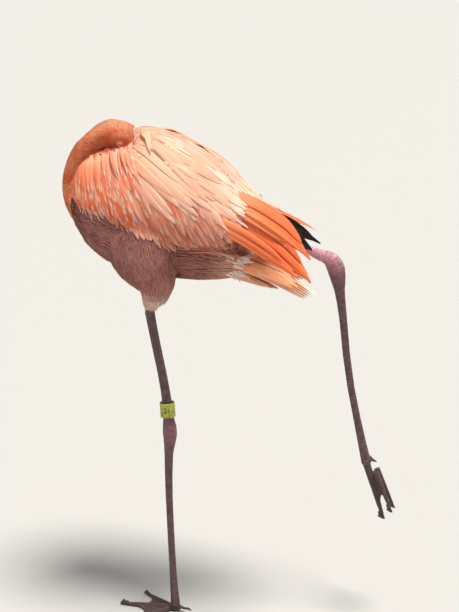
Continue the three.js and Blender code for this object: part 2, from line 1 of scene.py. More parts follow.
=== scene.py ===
"""Sleeping flamingo: skin, plumage, bill, eyes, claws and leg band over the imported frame.

Metres, +Z up. The bird faces -X and stands on its left foot, so its left side is -Y.
"""
import math

import bmesh
import bpy
import numpy as np
from mathutils.bvhtree import BVHTree
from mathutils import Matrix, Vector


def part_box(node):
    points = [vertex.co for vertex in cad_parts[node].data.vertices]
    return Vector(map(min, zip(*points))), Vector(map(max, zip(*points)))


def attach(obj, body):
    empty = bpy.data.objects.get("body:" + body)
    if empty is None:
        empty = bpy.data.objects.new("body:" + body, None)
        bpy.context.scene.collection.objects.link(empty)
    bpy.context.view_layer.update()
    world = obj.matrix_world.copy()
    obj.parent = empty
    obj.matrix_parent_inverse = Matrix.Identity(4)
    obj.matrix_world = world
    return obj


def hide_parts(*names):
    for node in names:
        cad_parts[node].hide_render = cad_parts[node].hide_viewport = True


MM = 0.001
LEFT, RIGHT = "left", "right"
OUTWARD = {LEFT: -1.0, RIGHT: 1.0}


def put(name, data):
    """A new object of the scene with this data."""
    made = bpy.data.objects.new(name, data)
    bpy.context.scene.collection.objects.link(made)
    return made


def hang_camera():
    """A long lens, a little above the bird's back and a little behind its side."""
    lens = bpy.data.cameras.new("camera")
    lens.lens = 73.53
    camera = put("camera", lens)
    camera.location = (0.50379, -1.90476, 1.0760)
    camera.rotation_euler = (math.radians(75), 0, math.radians(12))
    bpy.context.scene.camera = camera


hang_camera()
bpy.context.scene.view_settings.view_transform = "Standard"
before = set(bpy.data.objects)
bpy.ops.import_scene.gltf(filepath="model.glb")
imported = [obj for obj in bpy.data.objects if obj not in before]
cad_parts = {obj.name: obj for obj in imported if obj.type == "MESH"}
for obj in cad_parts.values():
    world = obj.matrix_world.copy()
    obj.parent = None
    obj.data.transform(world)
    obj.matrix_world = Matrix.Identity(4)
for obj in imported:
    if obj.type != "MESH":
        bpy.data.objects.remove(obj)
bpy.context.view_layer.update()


def hand_over(piece, replaced=None):
    """Puts a finished piece on the bird's one body, for the nodes that it stands for."""
    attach(piece, "root")
    if replaced is not None:
        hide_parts(*replaced)


# ---------------------------------------------------------------- paint

def tone(red, green, blue):
    """A display colour, 0 to 255, as the linear colour that a socket takes."""
    def linear(part):
        part = part / 255
        return part / 12.92 if part <= 0.04045 else ((part + 0.055) / 1.055) ** 2.4
    return (linear(red), linear(green), linear(blue), 1.0)


class Value:
    """A socket of a paint's nodes. Sums on it add the nodes that work them out."""

    def __init__(self, paint, socket):
        self.paint = paint
        self.socket = socket

    def sum(self, operation, first, second=0.0):
        return self.paint.node("ShaderNodeMath", {"operation": operation}, {0: first, 1: second})

    def __add__(self, other):
        return self.sum("ADD", self, other)

    def __radd__(self, other):
        return self.sum("ADD", other, self)

    def __sub__(self, other):
        return self.sum("SUBTRACT", self, other)

    def __rsub__(self, other):
        return self.sum("SUBTRACT", other, self)

    def __mul__(self, other):
        return self.sum("MULTIPLY", self, other)

    def __rmul__(self, other):
        return self.sum("MULTIPLY", other, self)

    def __abs__(self):
        return self.sum("ABSOLUTE", self)

    def sine(self):
        return self.sum("SINE", self)

    def between(self, low, high):
        """0 below low, 1 above high, with a soft step between them."""
        return self.paint.node("ShaderNodeMapRange", {"interpolation_type": "SMOOTHSTEP"},
                               {0: self, 1: low, 2: high, 3: 0.0, 4: 1.0})


class Paint:
    """One material, built node by node."""

    def __init__(self, name, kind="materials"):
        self.material = getattr(bpy.data, kind).new(name)
        self.material.use_nodes = True
        self.tree = self.material.node_tree
        self.tree.nodes.clear()

    def node(self, kind, settings=None, inputs=None, out=0):
        made = self.tree.nodes.new(kind)
        for key, setting in (settings or {}).items():
            setattr(made, key, setting)
        for key, value in (inputs or {}).items():
            if isinstance(value, Value):
                self.tree.links.new(value.socket, made.inputs[key])
            else:
                made.inputs[key].default_value = value
        return Value(self, made.outputs[out]) if made.outputs else None

    def place(self):
        return self.node("ShaderNodeTexCoord", out="Object")

    def attribute(self, name):
        return self.node("ShaderNodeAttribute", {"attribute_name": name}, out="Fac")

    def parts(self, vector):
        """The x, y and z of a vector."""
        split = self.node("ShaderNodeSeparateXYZ", None, {0: vector}).socket.node
        return [Value(self, socket) for socket in split.outputs]

    def join(self, x, y, z):
        return self.node("ShaderNodeCombineXYZ", None, {0: x, 1: y, 2: z})

    def vane(self):
        """How far across the feather, -1 to 1, and how far along it, 0 to 1."""
        across, along, _ = self.parts(self.node("ShaderNodeUVMap", {"uv_map": "Vane"}))
        return across * 2.0 - 1.0, along

    def noise(self, vector, scale, detail=2.0, rough=0.5):
        return self.node("ShaderNodeTexNoise", None,
                         {"Vector": vector, "Scale": scale, "Detail": detail, "Roughness": rough})

    def cells(self, vector, scale):
        return self.node("ShaderNodeTexVoronoi", {"feature": "DISTANCE_TO_EDGE"},
                         {"Vector": vector, "Scale": scale})

    def mix(self, share, first, second, blend="MIX"):
        return self.node("ShaderNodeMix", {"data_type": "RGBA", "blend_type": blend},
                         {0: share, 6: first, 7: second}, out=2)

    def bump(self, height, depth, strength=1.0):
        return self.node("ShaderNodeBump", None,
                         {"Strength": strength, "Distance": depth, "Height": height})

    def finish(self, colour, roughness, normal=None, **constants):
        inputs = {"Base Color": colour, "Roughness": roughness}
        if normal is not None:
            inputs["Normal"] = normal
        for name, number in constants.items():
            inputs[name.replace("_", " ")] = number
        surface = self.node("ShaderNodeBsdfPrincipled", None, inputs)
        self.node("ShaderNodeOutputMaterial", None, {"Surface": surface})
        return self.material


# ---------------------------------------------------------------- shapes

def units(vectors):
    return vectors / np.maximum(np.linalg.norm(vectors, axis=-1, keepdims=True), 1e-9)


def soft_step(values):
    values = np.clip(values, 0, 1)
    return values * values * (3 - 2 * values)


def write_numbers(mesh, name, values):
    layer = mesh.attributes.new(name, "FLOAT", "POINT")
    layer.data.foreach_set("value", np.asarray(values, np.float32).ravel())


def mesh_piece(name, points, triangles, material, numbers=(), maps=()):
    """A mesh object from arrays. Numbers are attributes and maps are UV layers, both by point."""
    mesh = bpy.data.meshes.new(name)
    mesh.vertices.add(len(points))
    mesh.vertices.foreach_set("co", np.asarray(points, np.float32).ravel())
    mesh.loops.add(triangles.size)
    mesh.loops.foreach_set("vertex_index", triangles.astype(np.int32).ravel())
    mesh.polygons.add(len(triangles))
    mesh.polygons.foreach_set("loop_start", np.arange(0, triangles.size, 3, dtype=np.int32))
    mesh.update(calc_edges=True)
    mesh.validate()
    mesh.shade_smooth()
    for map_name in maps:
        layer = mesh.uv_layers.new(name=map_name)
        layer.uv.foreach_set("vector", maps[map_name][triangles.ravel()].astype(np.float32).ravel())
    for number_name in numbers:
        write_numbers(mesh, number_name, numbers[number_name])
    mesh.materials.append(material)
    return put(name, mesh)


def points_of(piece, what="co"):
    """The corners of a piece, or with "normal" their normals, one to a row."""
    flat = np.zeros(len(piece.data.vertices) * 3, np.float32)
    piece.data.vertices.foreach_get(what, flat)
    return flat.reshape(-1, 3).astype(float)


def set_points(piece, points):
    piece.data.vertices.foreach_set("co", np.asarray(points, np.float32).ravel())
    piece.data.update()


def bare_mesh(name, shape):
    """The mesh of a finished shape, with no material yet."""
    mesh = bpy.data.meshes.new(name)
    shape.to_mesh(mesh)
    shape.free()
    mesh.materials.clear()
    return mesh


def apply_all(piece):
    bpy.context.view_layer.update()
    made = piece.evaluated_get(bpy.context.evaluated_depsgraph_get())
    mesh = bpy.data.meshes.new_from_object(made)
    piece.modifiers.clear()
    piece.data = mesh


def even_out(piece, rounds, group=""):
    even = piece.modifiers.new("even", "SMOOTH")
    even.factor = 0.5
    even.iterations = rounds
    even.vertex_group = group


def close_up(piece, grain, rounds, kept=1.0):
    """Makes one closed mesh of all that the piece holds, evens it out and keeps this share of its faces."""
    remesh = piece.modifiers.new("remesh", "REMESH")
    remesh.mode = "VOXEL"
    remesh.voxel_size = grain
    even_out(piece, rounds)
    if kept < 1:
        piece.modifiers.new("fewer", "DECIMATE").ratio = kept
    apply_all(piece)


def blend_of(name, nodes, grain, rounds):
    """One closed mesh over copies of these CAD nodes, evened out until no facet shows."""
    shape = bmesh.new()
    for node in nodes:
        shape.from_mesh(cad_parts[node].data)
    piece = put(name, bare_mesh(name, shape))
    close_up(piece, grain, rounds)
    piece.data.shade_smooth()
    return piece


FLESH_GRAIN, FLESH_ROUNDS = 0.0028, 5
CREASE_MIDDLE, CREASE_REACH, CREASE_ROUNDS = MM * np.array([-127, -3, 835]), 0.038, 170


def flesh_of(nodes):
    """These nodes blended, with the crease at the nape evened out, fading to nothing at its reach."""
    piece = blend_of("flesh", nodes, FLESH_GRAIN, FLESH_ROUNDS)
    group = piece.vertex_groups.new(name="crease")
    nearness = 1 - np.linalg.norm(points_of(piece) - CREASE_MIDDLE, axis=1) / CREASE_REACH
    for corner in np.flatnonzero(nearness > 0).tolist():
        group.add([corner], float(soft_step(2.0 * nearness[corner])), "REPLACE")
    even_out(piece, CREASE_ROUNDS, "crease")
    apply_all(piece)
    piece.vertex_groups.clear()
    return piece


def nearest_on_line(points, line):
    """For each point: how far along the line its nearest spot is, that spot, and the line's way there."""
    starts, ends = line[:-1], line[1:]
    spans = ends - starts
    shares = np.einsum("pic,ic->pi", points[:, None] - starts[None], spans) / (spans ** 2).sum(1)
    shares = np.clip(shares, 0, 1)
    feet = starts[None] + shares[..., None] * spans[None]
    best = np.linalg.norm(points[:, None] - feet, axis=2).argmin(1)
    rows = np.arange(len(points))
    lengths = np.linalg.norm(spans, axis=1)
    runs = np.concatenate([[0], np.cumsum(lengths)])
    return runs[best] + shares[rows, best] * lengths[best], feet[rows, best], units(spans)[best]


class Owners:
    """Which CAD node each spot is nearest to."""

    def __init__(self, nodes):
        points, faces, self.names = [], [], []
        for node in nodes:
            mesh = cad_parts[node].data
            start = len(points)
            points.extend(tuple(vertex.co) for vertex in mesh.vertices)
            faces.extend([start + corner for corner in polygon.vertices] for polygon in mesh.polygons)
            self.names.extend([node] * len(mesh.polygons))
        self.tree = BVHTree.FromPolygons(points, faces)

    def under(self, spots):
        return np.array([self.names[self.tree.find_nearest(spot)[2]] for spot in spots.tolist()])


class Form:
    """The outer form that the plumage lies on, with its nearest points and the node under each."""

    def __init__(self, nodes):
        piece = flesh_of(nodes)
        self.points = points_of(piece)
        self.normals = points_of(piece, "normal")
        faces = [tuple(polygon.vertices) for polygon in piece.data.polygons]
        bpy.data.objects.remove(piece)
        self.corners = np.array([(face + face[-1:])[:4] for face in faces])
        self.tree = BVHTree.FromPolygons(self.points.tolist(), faces)
        self.centres = self.points[self.corners].mean(1)
        self.face_normals = units(self.normals[self.corners].mean(1))
        first = self.points[self.corners[:, 2]] - self.points[self.corners[:, 0]]
        second = self.points[self.corners[:, 3]] - self.points[self.corners[:, 1]]
        self.areas = np.linalg.norm(np.cross(first, second), axis=1) / 2
        self.owner = Owners(nodes).under(self.centres)

    def nearest(self, spots):
        hits = np.empty_like(spots)
        faces = np.empty(len(spots), int)
        find = self.tree.find_nearest
        for row, spot in enumerate(spots.tolist()):
            hits[row], _, faces[row], _ = find(spot)
        corners = self.corners[faces]
        gaps = np.linalg.norm(self.points[corners] - hits[:, None], axis=2)
        weights = 1 / (gaps + 1e-5)
        normals = (self.normals[corners] * weights[..., None]).sum(1)
        return hits, units(normals), self.owner[faces]

    def covered(self, spots, normals, reach):
        """Whether something of the form lies over each spot, within this reach."""
        starts = spots + normals * 0.0015
        return np.array([self.tree.ray_cast(start, way, reach)[0] is not None
                         for start, way in zip(starts.tolist(), normals.tolist())])


def scatter(form, chosen, spacing, seed, keep=None):
    """Spots spread evenly over the chosen faces, none nearer to another than the spacing."""
    rng = np.random.default_rng(seed)
    faces = np.flatnonzero(chosen)
    areas = form.areas[faces]
    tries = int(7 * areas.sum() / (spacing * spacing)) + 1
    picks = rng.choice(faces, tries, p=areas / areas.sum())
    across, along = rng.random(tries)[:, None], rng.random(tries)[:, None]
    corner = form.points[form.corners[picks]]
    low = corner[:, 0] * (1 - across) + corner[:, 1] * across
    high = corner[:, 3] * (1 - across) + corner[:, 2] * across
    spots = low * (1 - along) + high * along
    if keep is not None:
        spots = spots[keep(spots)]
    cells, taken = {}, []
    limit = spacing * spacing
    around = [(x, y, z) for x in (-1, 0, 1) for y in (-1, 0, 1) for z in (-1, 0, 1)]
    keys = np.floor(spots / spacing).astype(int).tolist()
    for row, ((i, j, k), (x, y, z)) in enumerate(zip(keys, spots.tolist())):
        if not any((a - x) ** 2 + (b - y) ** 2 + (c - z) ** 2 < limit
                   for u, v, w in around for a, b, c in cells.get((i + u, j + v, k + w), ())):
            cells.setdefault((i, j, k), []).append((x, y, z))
            taken.append(row)
    return spots[taken]


# ---------------------------------------------------------------- feathers

SECTIONS = {
    "vane": ([-1, -0.55, 0, 0.55, 1, 0.55, 0, -0.55], [0, 0.75, 1, 0.75, 0, -0.75, -1, -0.75]),
    "wisp": ([-1, 0, 1], [-0.4, 1, -0.4]),
}
BODY_END = 0.985
PATCH = 0.003


def outline(shares, swell, taper):
    """Half width along a feather, as a share of its widest: narrow root, body and tip."""
    body = (shares + 0.10) ** swell * (1 - shares) ** taper
    return body / body.max()


def evened(rows):
    """Takes the small kinks out along each feather."""
    for _ in range(2):
        middle = (rows[:, :-2] + 2 * rows[:, 1:-1] + rows[:, 2:]) / 4
        rows = np.concatenate([rows[:, :1], middle, rows[:, -1:]], 1)
    return rows


def comb(form, roots, lie, lengths, stations, stray, over=None, loose=False):
    """Each feather's line over the form, and the share of it that lies on its own ground."""
    spot, normal, _ = form.nearest(roots)
    turn_cos, turn_sin = np.cos(stray)[:, None], np.sin(stray)[:, None]

    def wanted(spots, normals):
        way = lie(spots, normals)
        way = units(way - normals * (way * normals).sum(1)[:, None])
        return way * turn_cos + np.cross(normals, way) * turn_sin

    heading = wanted(spot, normal)
    step = (lengths / (stations - 1))[:, None]
    fall = 0.02 if loose else 0.0
    lines, ups, ways = [spot], [normal], [heading]
    grounded = np.ones(len(roots))
    for station in range(1, stations):
        heading = units(heading * 0.5 + wanted(spot, normal) * 0.5)
        ahead = spot + heading * step
        hit, under, owner = form.nearest(ahead)
        above = ((ahead - hit) * under).sum(1) > 0
        hanging = above & (np.linalg.norm(hit - ahead, axis=1) > 0.30 * step[:, 0])
        if loose:
            hanging |= under[:, 2] < -0.30
        before = spot
        spot = ahead + (hit - ahead) * np.where(hanging, 0.25, 1.0)[:, None]
        normal = units(normal * 0.4 + under * np.where(hanging, 0.25, 0.6)[:, None])
        heading = units(spot - before)
        heading = units(heading + np.where(hanging, fall, 0.0)[:, None] * np.array([0, 0, -1.0]))
        normal = units(normal - heading * (normal * heading).sum(1)[:, None])
        if over is not None:
            strayed = ~np.isin(owner, over)
            grounded = np.minimum(grounded, np.where(strayed, station / (stations - 1), 1.0))
        lines.append(spot)
        ups.append(normal)
        ways.append(heading)
    return evened(np.stack(lines, 1)), units(evened(np.stack(ups, 1))), np.stack(ways, 1), grounded


def feather_faces(ring, stations):
    """The triangles of one feather: its root's face, its sides and the fan to its tip."""
    faces = [(0, k, k + 1) for k in range(1, ring - 1)]
    for start in range(0, (stations - 1) * ring, ring):
        for k in range(ring):
            a, b = start + k, start + (k + 1) % ring
            faces += [(a, a + ring, b + ring), (a, b + ring, b)]
    last = (stations - 1) * ring
    return np.array(faces + [(last + k, last + ring, last + (k + 1) % ring) for k in range(ring)])


def grow(name, lines, ups, ways, half_widths, heights, section, thick, material, places, numbers,
         camber, form, ripple, seed):
    """Closed feathers along these lines, joined in one piece with both of its maps."""
    rng = np.random.default_rng(seed)
    across, lift = (np.array(part, float) for part in SECTIONS[section])
    count, stations, _ = lines.shape
    ring = len(across)
    sides = units(np.cross(ups, ways))
    middles = lines + ups * heights[..., None]
    wave = 1 + ripple * rng.standard_normal((count, stations, 2))
    left = middles - sides * (half_widths * wave[..., 0])[..., None]
    right = middles + sides * (half_widths * wave[..., 1])[..., None]
    if form is not None:
        for edge in (left, right):
            flat = (edge - ups * heights[..., None]).reshape(-1, 3)
            hit, under, _ = form.nearest(flat)
            gap = np.linalg.norm(hit - flat, axis=1)
            settled = hit + under * heights.reshape(-1)[:, None]
            near = np.clip(2 - 2 * gap / np.maximum(0.8 * half_widths.reshape(-1), 1e-6), 0, 1)[:, None]
            edge[...] = evened((settled * near + edge.reshape(-1, 3) * (1 - near)).reshape(edge.shape))
    half_span = (right - left) / 2
    sag = (right + left) / 2 - middles
    points = (middles[:, :, None] + half_span[:, :, None] * across[:, None]
              + sag[:, :, None] * (across ** 2)[:, None])
    body = np.linspace(0, 1, stations)
    depth = thick * (0.35 + 0.65 * np.sqrt(1 - body))[None, :, None] * lift
    bow = camber * half_widths[:, :, None] * (1 - across ** 2)
    points = points + ups[:, :, None] * (depth + bow)[..., None]
    tips = lines[:, -1] + ups[:, -1] * heights[:, -1][:, None] + ways[:, -1] * half_widths[:, -1][:, None]
    points = np.concatenate([points.reshape(count, -1, 3), tips[:, None]], 1)
    each = points.shape[1]
    triangles = feather_faces(ring, stations)[None] + (np.arange(count) * each)[:, None, None]
    vane = np.empty((count, each, 2))
    vane[:, :-1, 0] = np.tile(across * 0.5 + 0.5, stations)
    vane[:, :-1, 1] = np.repeat(body, ring) * 0.97
    vane[:, -1] = (0.5, 1.0)
    patch = places[:, None] + (vane - 0.5) * PATCH
    spread = {key: np.repeat(values, each) for key, values in numbers.items()}
    return mesh_piece(name, points.reshape(-1, 3), triangles.reshape(-1, 3), material, spread,
                      {"OFBake": patch.reshape(-1, 2), "Vane": vane.reshape(-1, 2)})


def unwrap(line, spots):
    """A place on the skin's unwrap: how far along this line, and the angle round it."""
    along, feet, ways = nearest_on_line(spots, line)
    across = units(np.cross(ways, [0.03, 0.02, 1.0]))
    above = np.cross(across, ways)
    out = spots - feet
    angle = np.arctan2((out * across).sum(1), (out * above).sum(1)) / (2 * math.pi) + 0.5
    length = np.linalg.norm(np.diff(line, axis=0), axis=1).sum()
    return np.stack([0.04 + 0.92 * np.clip(along / length, 0, 1), 0.04 + 0.92 * angle], 1)


def cover(form, name, line, nodes, lie, paint, spacing, length, half, stations, sink, proud, seed,
          stray, thick, camber=0.0, over=None, overhang=0.0, shape=(0.3, 0.6), sits=None, pale=None,
          keep=None):
    """One tract of the coat, rooted all over these nodes' outer skin and lying the given way: vanes
    where it is told what ground they lie over, and wisps elsewhere."""
    rng = np.random.default_rng(seed)
    vaned = over is not None
    section, vary, even, ripple = ("vane", 0.2, 0.25, 0.006) if vaned else ("wisp", 0.25, 0.45, 0.0)
    chosen = np.isin(form.owner, nodes)
    chosen[chosen] = ~form.covered(form.centres[chosen], form.face_normals[chosen], 0.010)
    roots = scatter(form, chosen, spacing, seed, keep)
    if sits is not None:
        roots = roots[sits(form.nearest(roots)[1])]
    count = len(roots)
    lengths = length * (1 + vary * rng.uniform(-1, 1, count))
    strays = stray * rng.standard_normal(count)
    lines, ups, ways, grounded = comb(form, roots, lie, lengths, stations, strays, over, vaned)
    if vaned:
        fits = grounded * lengths > 0.25 * length
        lengths = np.minimum(lengths, grounded * lengths + overhang * rng.uniform(0.3, 1.5, count))
        roots, strays, lengths = roots[fits], strays[fits], lengths[fits]
        count = len(roots)
        lines, ups, ways, _ = comb(form, roots, lie, lengths, stations, strays, None, True)
    shares = np.linspace(0, 1, stations)
    widths = half * (1 + 0.6 * vary * rng.uniform(-1, 1, count))
    half_widths = widths[:, None] * outline(shares * BODY_END, *shape)[None]
    top = proud * (1 - even + 2 * even * rng.random(count))
    heights = -sink + (sink + top[:, None]) * (shares ** 0.85)[None]
    numbers = {"shade": rng.random(count),
               "pale": np.clip(pale(roots, rng), 0, 1) if pale else np.zeros(count)}
    piece = grow(name, lines, ups, ways, half_widths, heights, section, thick, paint,
                 unwrap(line, roots), numbers, camber, form if vaned else None, ripple, seed)
    hand_over(piece)


def bezier(root, bend, tip, shares):
    """A line from the root to the tip, in millimetres, drawn towards the bend, and its way."""
    root, bend, tip = (np.array(part, float) * MM for part in (root, bend, tip))
    shares = shares[:, None]
    line = root * (1 - shares) ** 2 + 2 * bend * shares * (1 - shares) + tip * shares ** 2
    return line, units(2 * (bend - root) * (1 - shares) + 2 * (tip - bend) * shares)


def blade(line, way, facing, half, swell, taper, lift):
    """One feather for quills(): its line, which way it faces, its half width and its lift, in mm."""
    across = units(np.cross(np.broadcast_to(np.array(facing, float), line.shape), way))
    halves = half * MM * outline(np.linspace(0, BODY_END, len(line)), swell, taper)
    return line, np.cross(way, across), way, halves, np.full(len(line), lift * MM)


def quills(name, feathers, paint, seed, replaced=(), thick=0.0005, camber=0.10):
    """Feathers of their own lines, in one piece that stands for these nodes of the frame."""
    lines, ups, ways, halves, heights = (np.stack(part) for part in zip(*feathers))
    rng = np.random.default_rng(seed)
    numbers = {"shade": rng.random(len(lines)), "pale": 0.12 * rng.random(len(lines))}
    piece = grow(name, lines, ups, ways, halves, heights, "vane", thick, paint,
                 unwrap(TRUNK_LINE, lines[:, 2]), numbers, camber, None, 0.02, seed)
    hand_over(piece, replaced)


# ---------------------------------------------------------------- the lie of the coat

TRUNK_LINE = MM * np.array([[-160, 0, 714], [-60, 0, 700], [60, 0, 676], [175, 0, 626]])
NECK_LINE = MM * np.array([
    [-91, 0, 826.5], [-106, 0, 825.5], [-119.5, 0, 819], [-136, 2, 802], [-148.5, 3, 783],
    [-158, 3, 757], [-159, 2, 730], [-146, 0, 702], [-120, 0, 686]])
THIGH_LINES = {
    LEFT: MM * np.array([[-38, -50, 716], [-34, -57, 690], [-29, -60, 655], [-20, -58, 628],
                         [-12, -54, 606], [-10, -50, 588], [-17, -47, 571], [-22, -45.5, 550]]),
    RIGHT: MM * np.array([[-60, 46, 690], [-38, 54, 684], [-5, 58, 684], [35, 58, 687],
                          [72, 55, 688], [100, 52, 684], [130, 51, 674]])}
LEG_LINES = {
    LEFT: MM * np.array([
        [-22.2, -45.2, 552], [-17, -42, 515], [-3, -35, 430], [1.5, -32.5, 392], [3.2, -31.2, 368],
        [4.8, -30, 345], [3.8, -28.4, 325], [1.6, -26.6, 303], [-0.5, -21, 235], [0, -13.5, 150],
        [1.5, -6.5, 66], [3.4, -2, 12]]),
    RIGHT: MM * np.array([
        [123.4, 51, 677], [160, 50.6, 663.5], [213, 50, 643.5], [240, 50, 633], [254, 50, 628],
        [262.5, 50, 616], [267, 50, 598], [270.6, 50, 576], [276, 50, 540], [288.5, 50, 438],
        [306, 50, 352], [322.4, 50, 281]])}
ANKLES = {LEFT: MM * np.array([4.4, -29.6, 343]), RIGHT: MM * np.array([261, 50, 617])}
NECK_FOOT = MM * np.array([-150, 0, 728])

HEAD_AHEAD = units(np.array([8, 0, -2.4]))
CROWN = np.array([0.21, -0.67, 0.71])
CROWN = units(CROWN - HEAD_AHEAD * (CROWN @ HEAD_AHEAD))
HEAD_SIDE = np.cross(HEAD_AHEAD, -CROWN)
BILL_ROOT = MM * np.array([-40.4, 0, 812.2])


def lie_head(spots, normals):
    return np.tile(-HEAD_AHEAD, (len(spots), 1))


def lie_along(line):
    """Every feather lies the way that the line runs beside it."""
    def lie(spots, normals):
        return nearest_on_line(spots, line)[2]
    return lie


def lie_trunk(spots, normals):
    away = spots - NECK_FOOT
    near = np.exp(-np.linalg.norm(away, axis=1) / 0.075)[:, None]
    back = np.array([1.0, 0, -0.12])
    return units(away) * near * 1.6 + back * (1 - near)


def lie_wing(side, front_back, rear_back, down, out):
    """Over the edge of the wing and down, turning back towards the tips."""
    def lie(spots, normals):
        turn = soft_step((spots[:, 0] + 0.14) / 0.20)
        ways = np.zeros_like(spots)
        ways[:, 0] = front_back + (rear_back - front_back) * turn
        ways[:, 1] = OUTWARD[side] * out * np.clip(normals[:, 2], 0, 1) * (1 - 0.6 * turn)
        ways[:, 2] = -down
        return ways
    return lie


def sits_outward(side, least):
    """Leaves the under edge and the inner lip of a wing without roots."""
    def sits(normals):
        return (normals[:, 1] * OUTWARD[side] > least) & (normals[:, 2] > -0.45)
    return sits


# ---------------------------------------------------------------- skin

WINGS = [f"wing_{side}_{part}" for side in (LEFT, RIGHT) for part in ("shoulder", "scapulars", "coverts")]
BODY = ["trunk", "neck_base", "neck_middle", "neck_top", "head", "thigh_left", "thigh_right"] + WINGS
LONG = ([f"wing_{side}_{part}" for side in (LEFT, RIGHT)
         for part in ("tertials_upper", "tertials_middle", "tertials_lower", "primaries")] + ["tail"])
TOES = ["toe_middle", "toe_inner", "web_inner", "toe_outer", "web_outer", "hallux"]
LEGS = [f"{part}_{side}" for side in (LEFT, RIGHT) for part in ["shin", "ankle", "tarsus"] + TOES]
COAT_DEPTH = {"trunk": 1.0, "neck_base": 1.6, "neck_middle": 1.1, "neck_top": 0.9, "head": 0.7,
              "thigh_left": 1.0, "thigh_right": 1.0}
WING_COAT_DEPTH = 1.6
SKIN_GRAIN, SKIN_ROUNDS, SKIN_KEPT = 0.00135, 3, 0.32
ROD_SIDES, ROD_RADIUS = 12, 7.4 * MM
LID_ROWS, LID_COLUMNS = 10, 26
EYE_RADIUS = 0.0066
EYES = {side: np.mean(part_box(f"eye_{side}"), 0) for side in (LEFT, RIGHT)}
EYE_WAYS = {LEFT: HEAD_SIDE, RIGHT: -HEAD_SIDE}


def bare_face(spots):
    """The featherless skin between the eyes and the bill: 1 where bare."""
    rise = (spots - BILL_ROOT) @ CROWN
    return soft_step((spots[:, 0] + 0.0595 - 0.45 * rise + 5 * (rise - 0.004) ** 2) / 0.004 + 0.5)


def eye_gap(spots):
    return np.min([np.linalg.norm(spots - centre, axis=1) for centre in EYES.values()], 0)


def clear_of_face(spots):
    return (eye_gap(spots) > 0.0078) & (bare_face(spots) < 0.4)


def add_rod(shape, start, end, radius):
    """A closed round rod from one spot to the other."""
    along = units(end - start)
    across = units(np.cross(along, [0.3, 1, 0.2]))
    other = np.cross(along, across)
    turns = np.linspace(0, 2 * math.pi, ROD_SIDES, endpoint=False)
    low, high = ([shape.verts.new(centre + radius * (math.cos(turn) * across + math.sin(turn) * other))
                  for turn in turns] for centre in (start, end))
    for k in range(ROD_SIDES):
        after = (k + 1) % ROD_SIDES
        shape.faces.new((low[k], low[after], high[after], high[k]))
    shape.faces.new(low[::-1])
    shape.faces.new(high)


def claw_beds(shape):
    """Flesh at the root of every claw, so that the toes close on them."""
    for name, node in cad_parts.items():
        if not name.startswith("claw"):
            continue
        digit = name[5:] if "hallux" in name else "toe_" + name[5:]
        points = points_of(node)
        along = units(points.mean(0) - points_of(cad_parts[digit]).mean(0))
        runs = points @ along
        ring = points[runs < runs.min() + 0.0008]
        centre = ring.mean(0)
        radius = 0.52 * np.linalg.norm(ring - centre, axis=1).max()
        centre[2] = max(centre[2], radius + 0.0004)
        add_rod(shape, centre - 0.007 * along, centre + 0.0026 * along, radius)


def sink_by_coat(piece):
    """Draws the skin in under the plumage by the depth that the coat has there."""
    points = points_of(piece)
    names = Owners(BODY).under(points)
    depths = np.array([COAT_DEPTH.get(name, WING_COAT_DEPTH) for name in names]) * MM
    depths[names == "head"] *= 1 - bare_face(points[names == "head"])
    for centre in EYES.values():
        depths *= soft_step((np.linalg.norm(points - centre, axis=1) - 0.008) / 0.004)
    set_points(piece, points - points_of(piece, "normal") * depths[:, None])


def lid_shell(side, upper):
    """One eyelid: a thin curved shell over the ball, its rim just short of the other's."""
    sign, droop = (1.0, 0.55) if upper else (-1.0, 0.85)
    spots = []
    for radius, lip in ((EYE_RADIUS + 0.0009, 0.00025), (EYE_RADIUS + 0.0001, 0.0)):
        for row in range(LID_ROWS):
            for column in range(LID_COLUMNS):
                sweep = math.radians(-78 + 156 * column / (LID_COLUMNS - 1))
                rim = 0.5 + 8.0 * max(0.0, math.cos(sweep * 1.35)) * droop
                reach = 76 - 20 * sign
                tilt = math.radians(20 + sign * (rim + (reach - rim) * row / (LID_ROWS - 1)))
                way = (math.cos(sweep) * (math.cos(tilt) * EYE_WAYS[side] + math.sin(tilt) * CROWN)
                       + math.sin(sweep) * HEAD_AHEAD)
                spots.append(EYES[side] + way * (radius + lip * math.exp(-row * 1.1)))
    skip = LID_ROWS * LID_COLUMNS
    grid = np.arange(skip).reshape(LID_ROWS, LID_COLUMNS)
    quads = np.stack([grid[:-1, :-1], grid[:-1, 1:], grid[1:, 1:], grid[1:, :-1]], -1).reshape(-1, 4)
    border = np.concatenate([grid[0], grid[1:, -1], grid[-1, -2::-1], grid[-2:0:-1, 0]])
    after = np.roll(border, -1)
    edge = np.stack([after, border, skip + border, skip + after], 1)
    return np.array(spots), np.concatenate([quads, skip + quads[:, ::-1], edge])


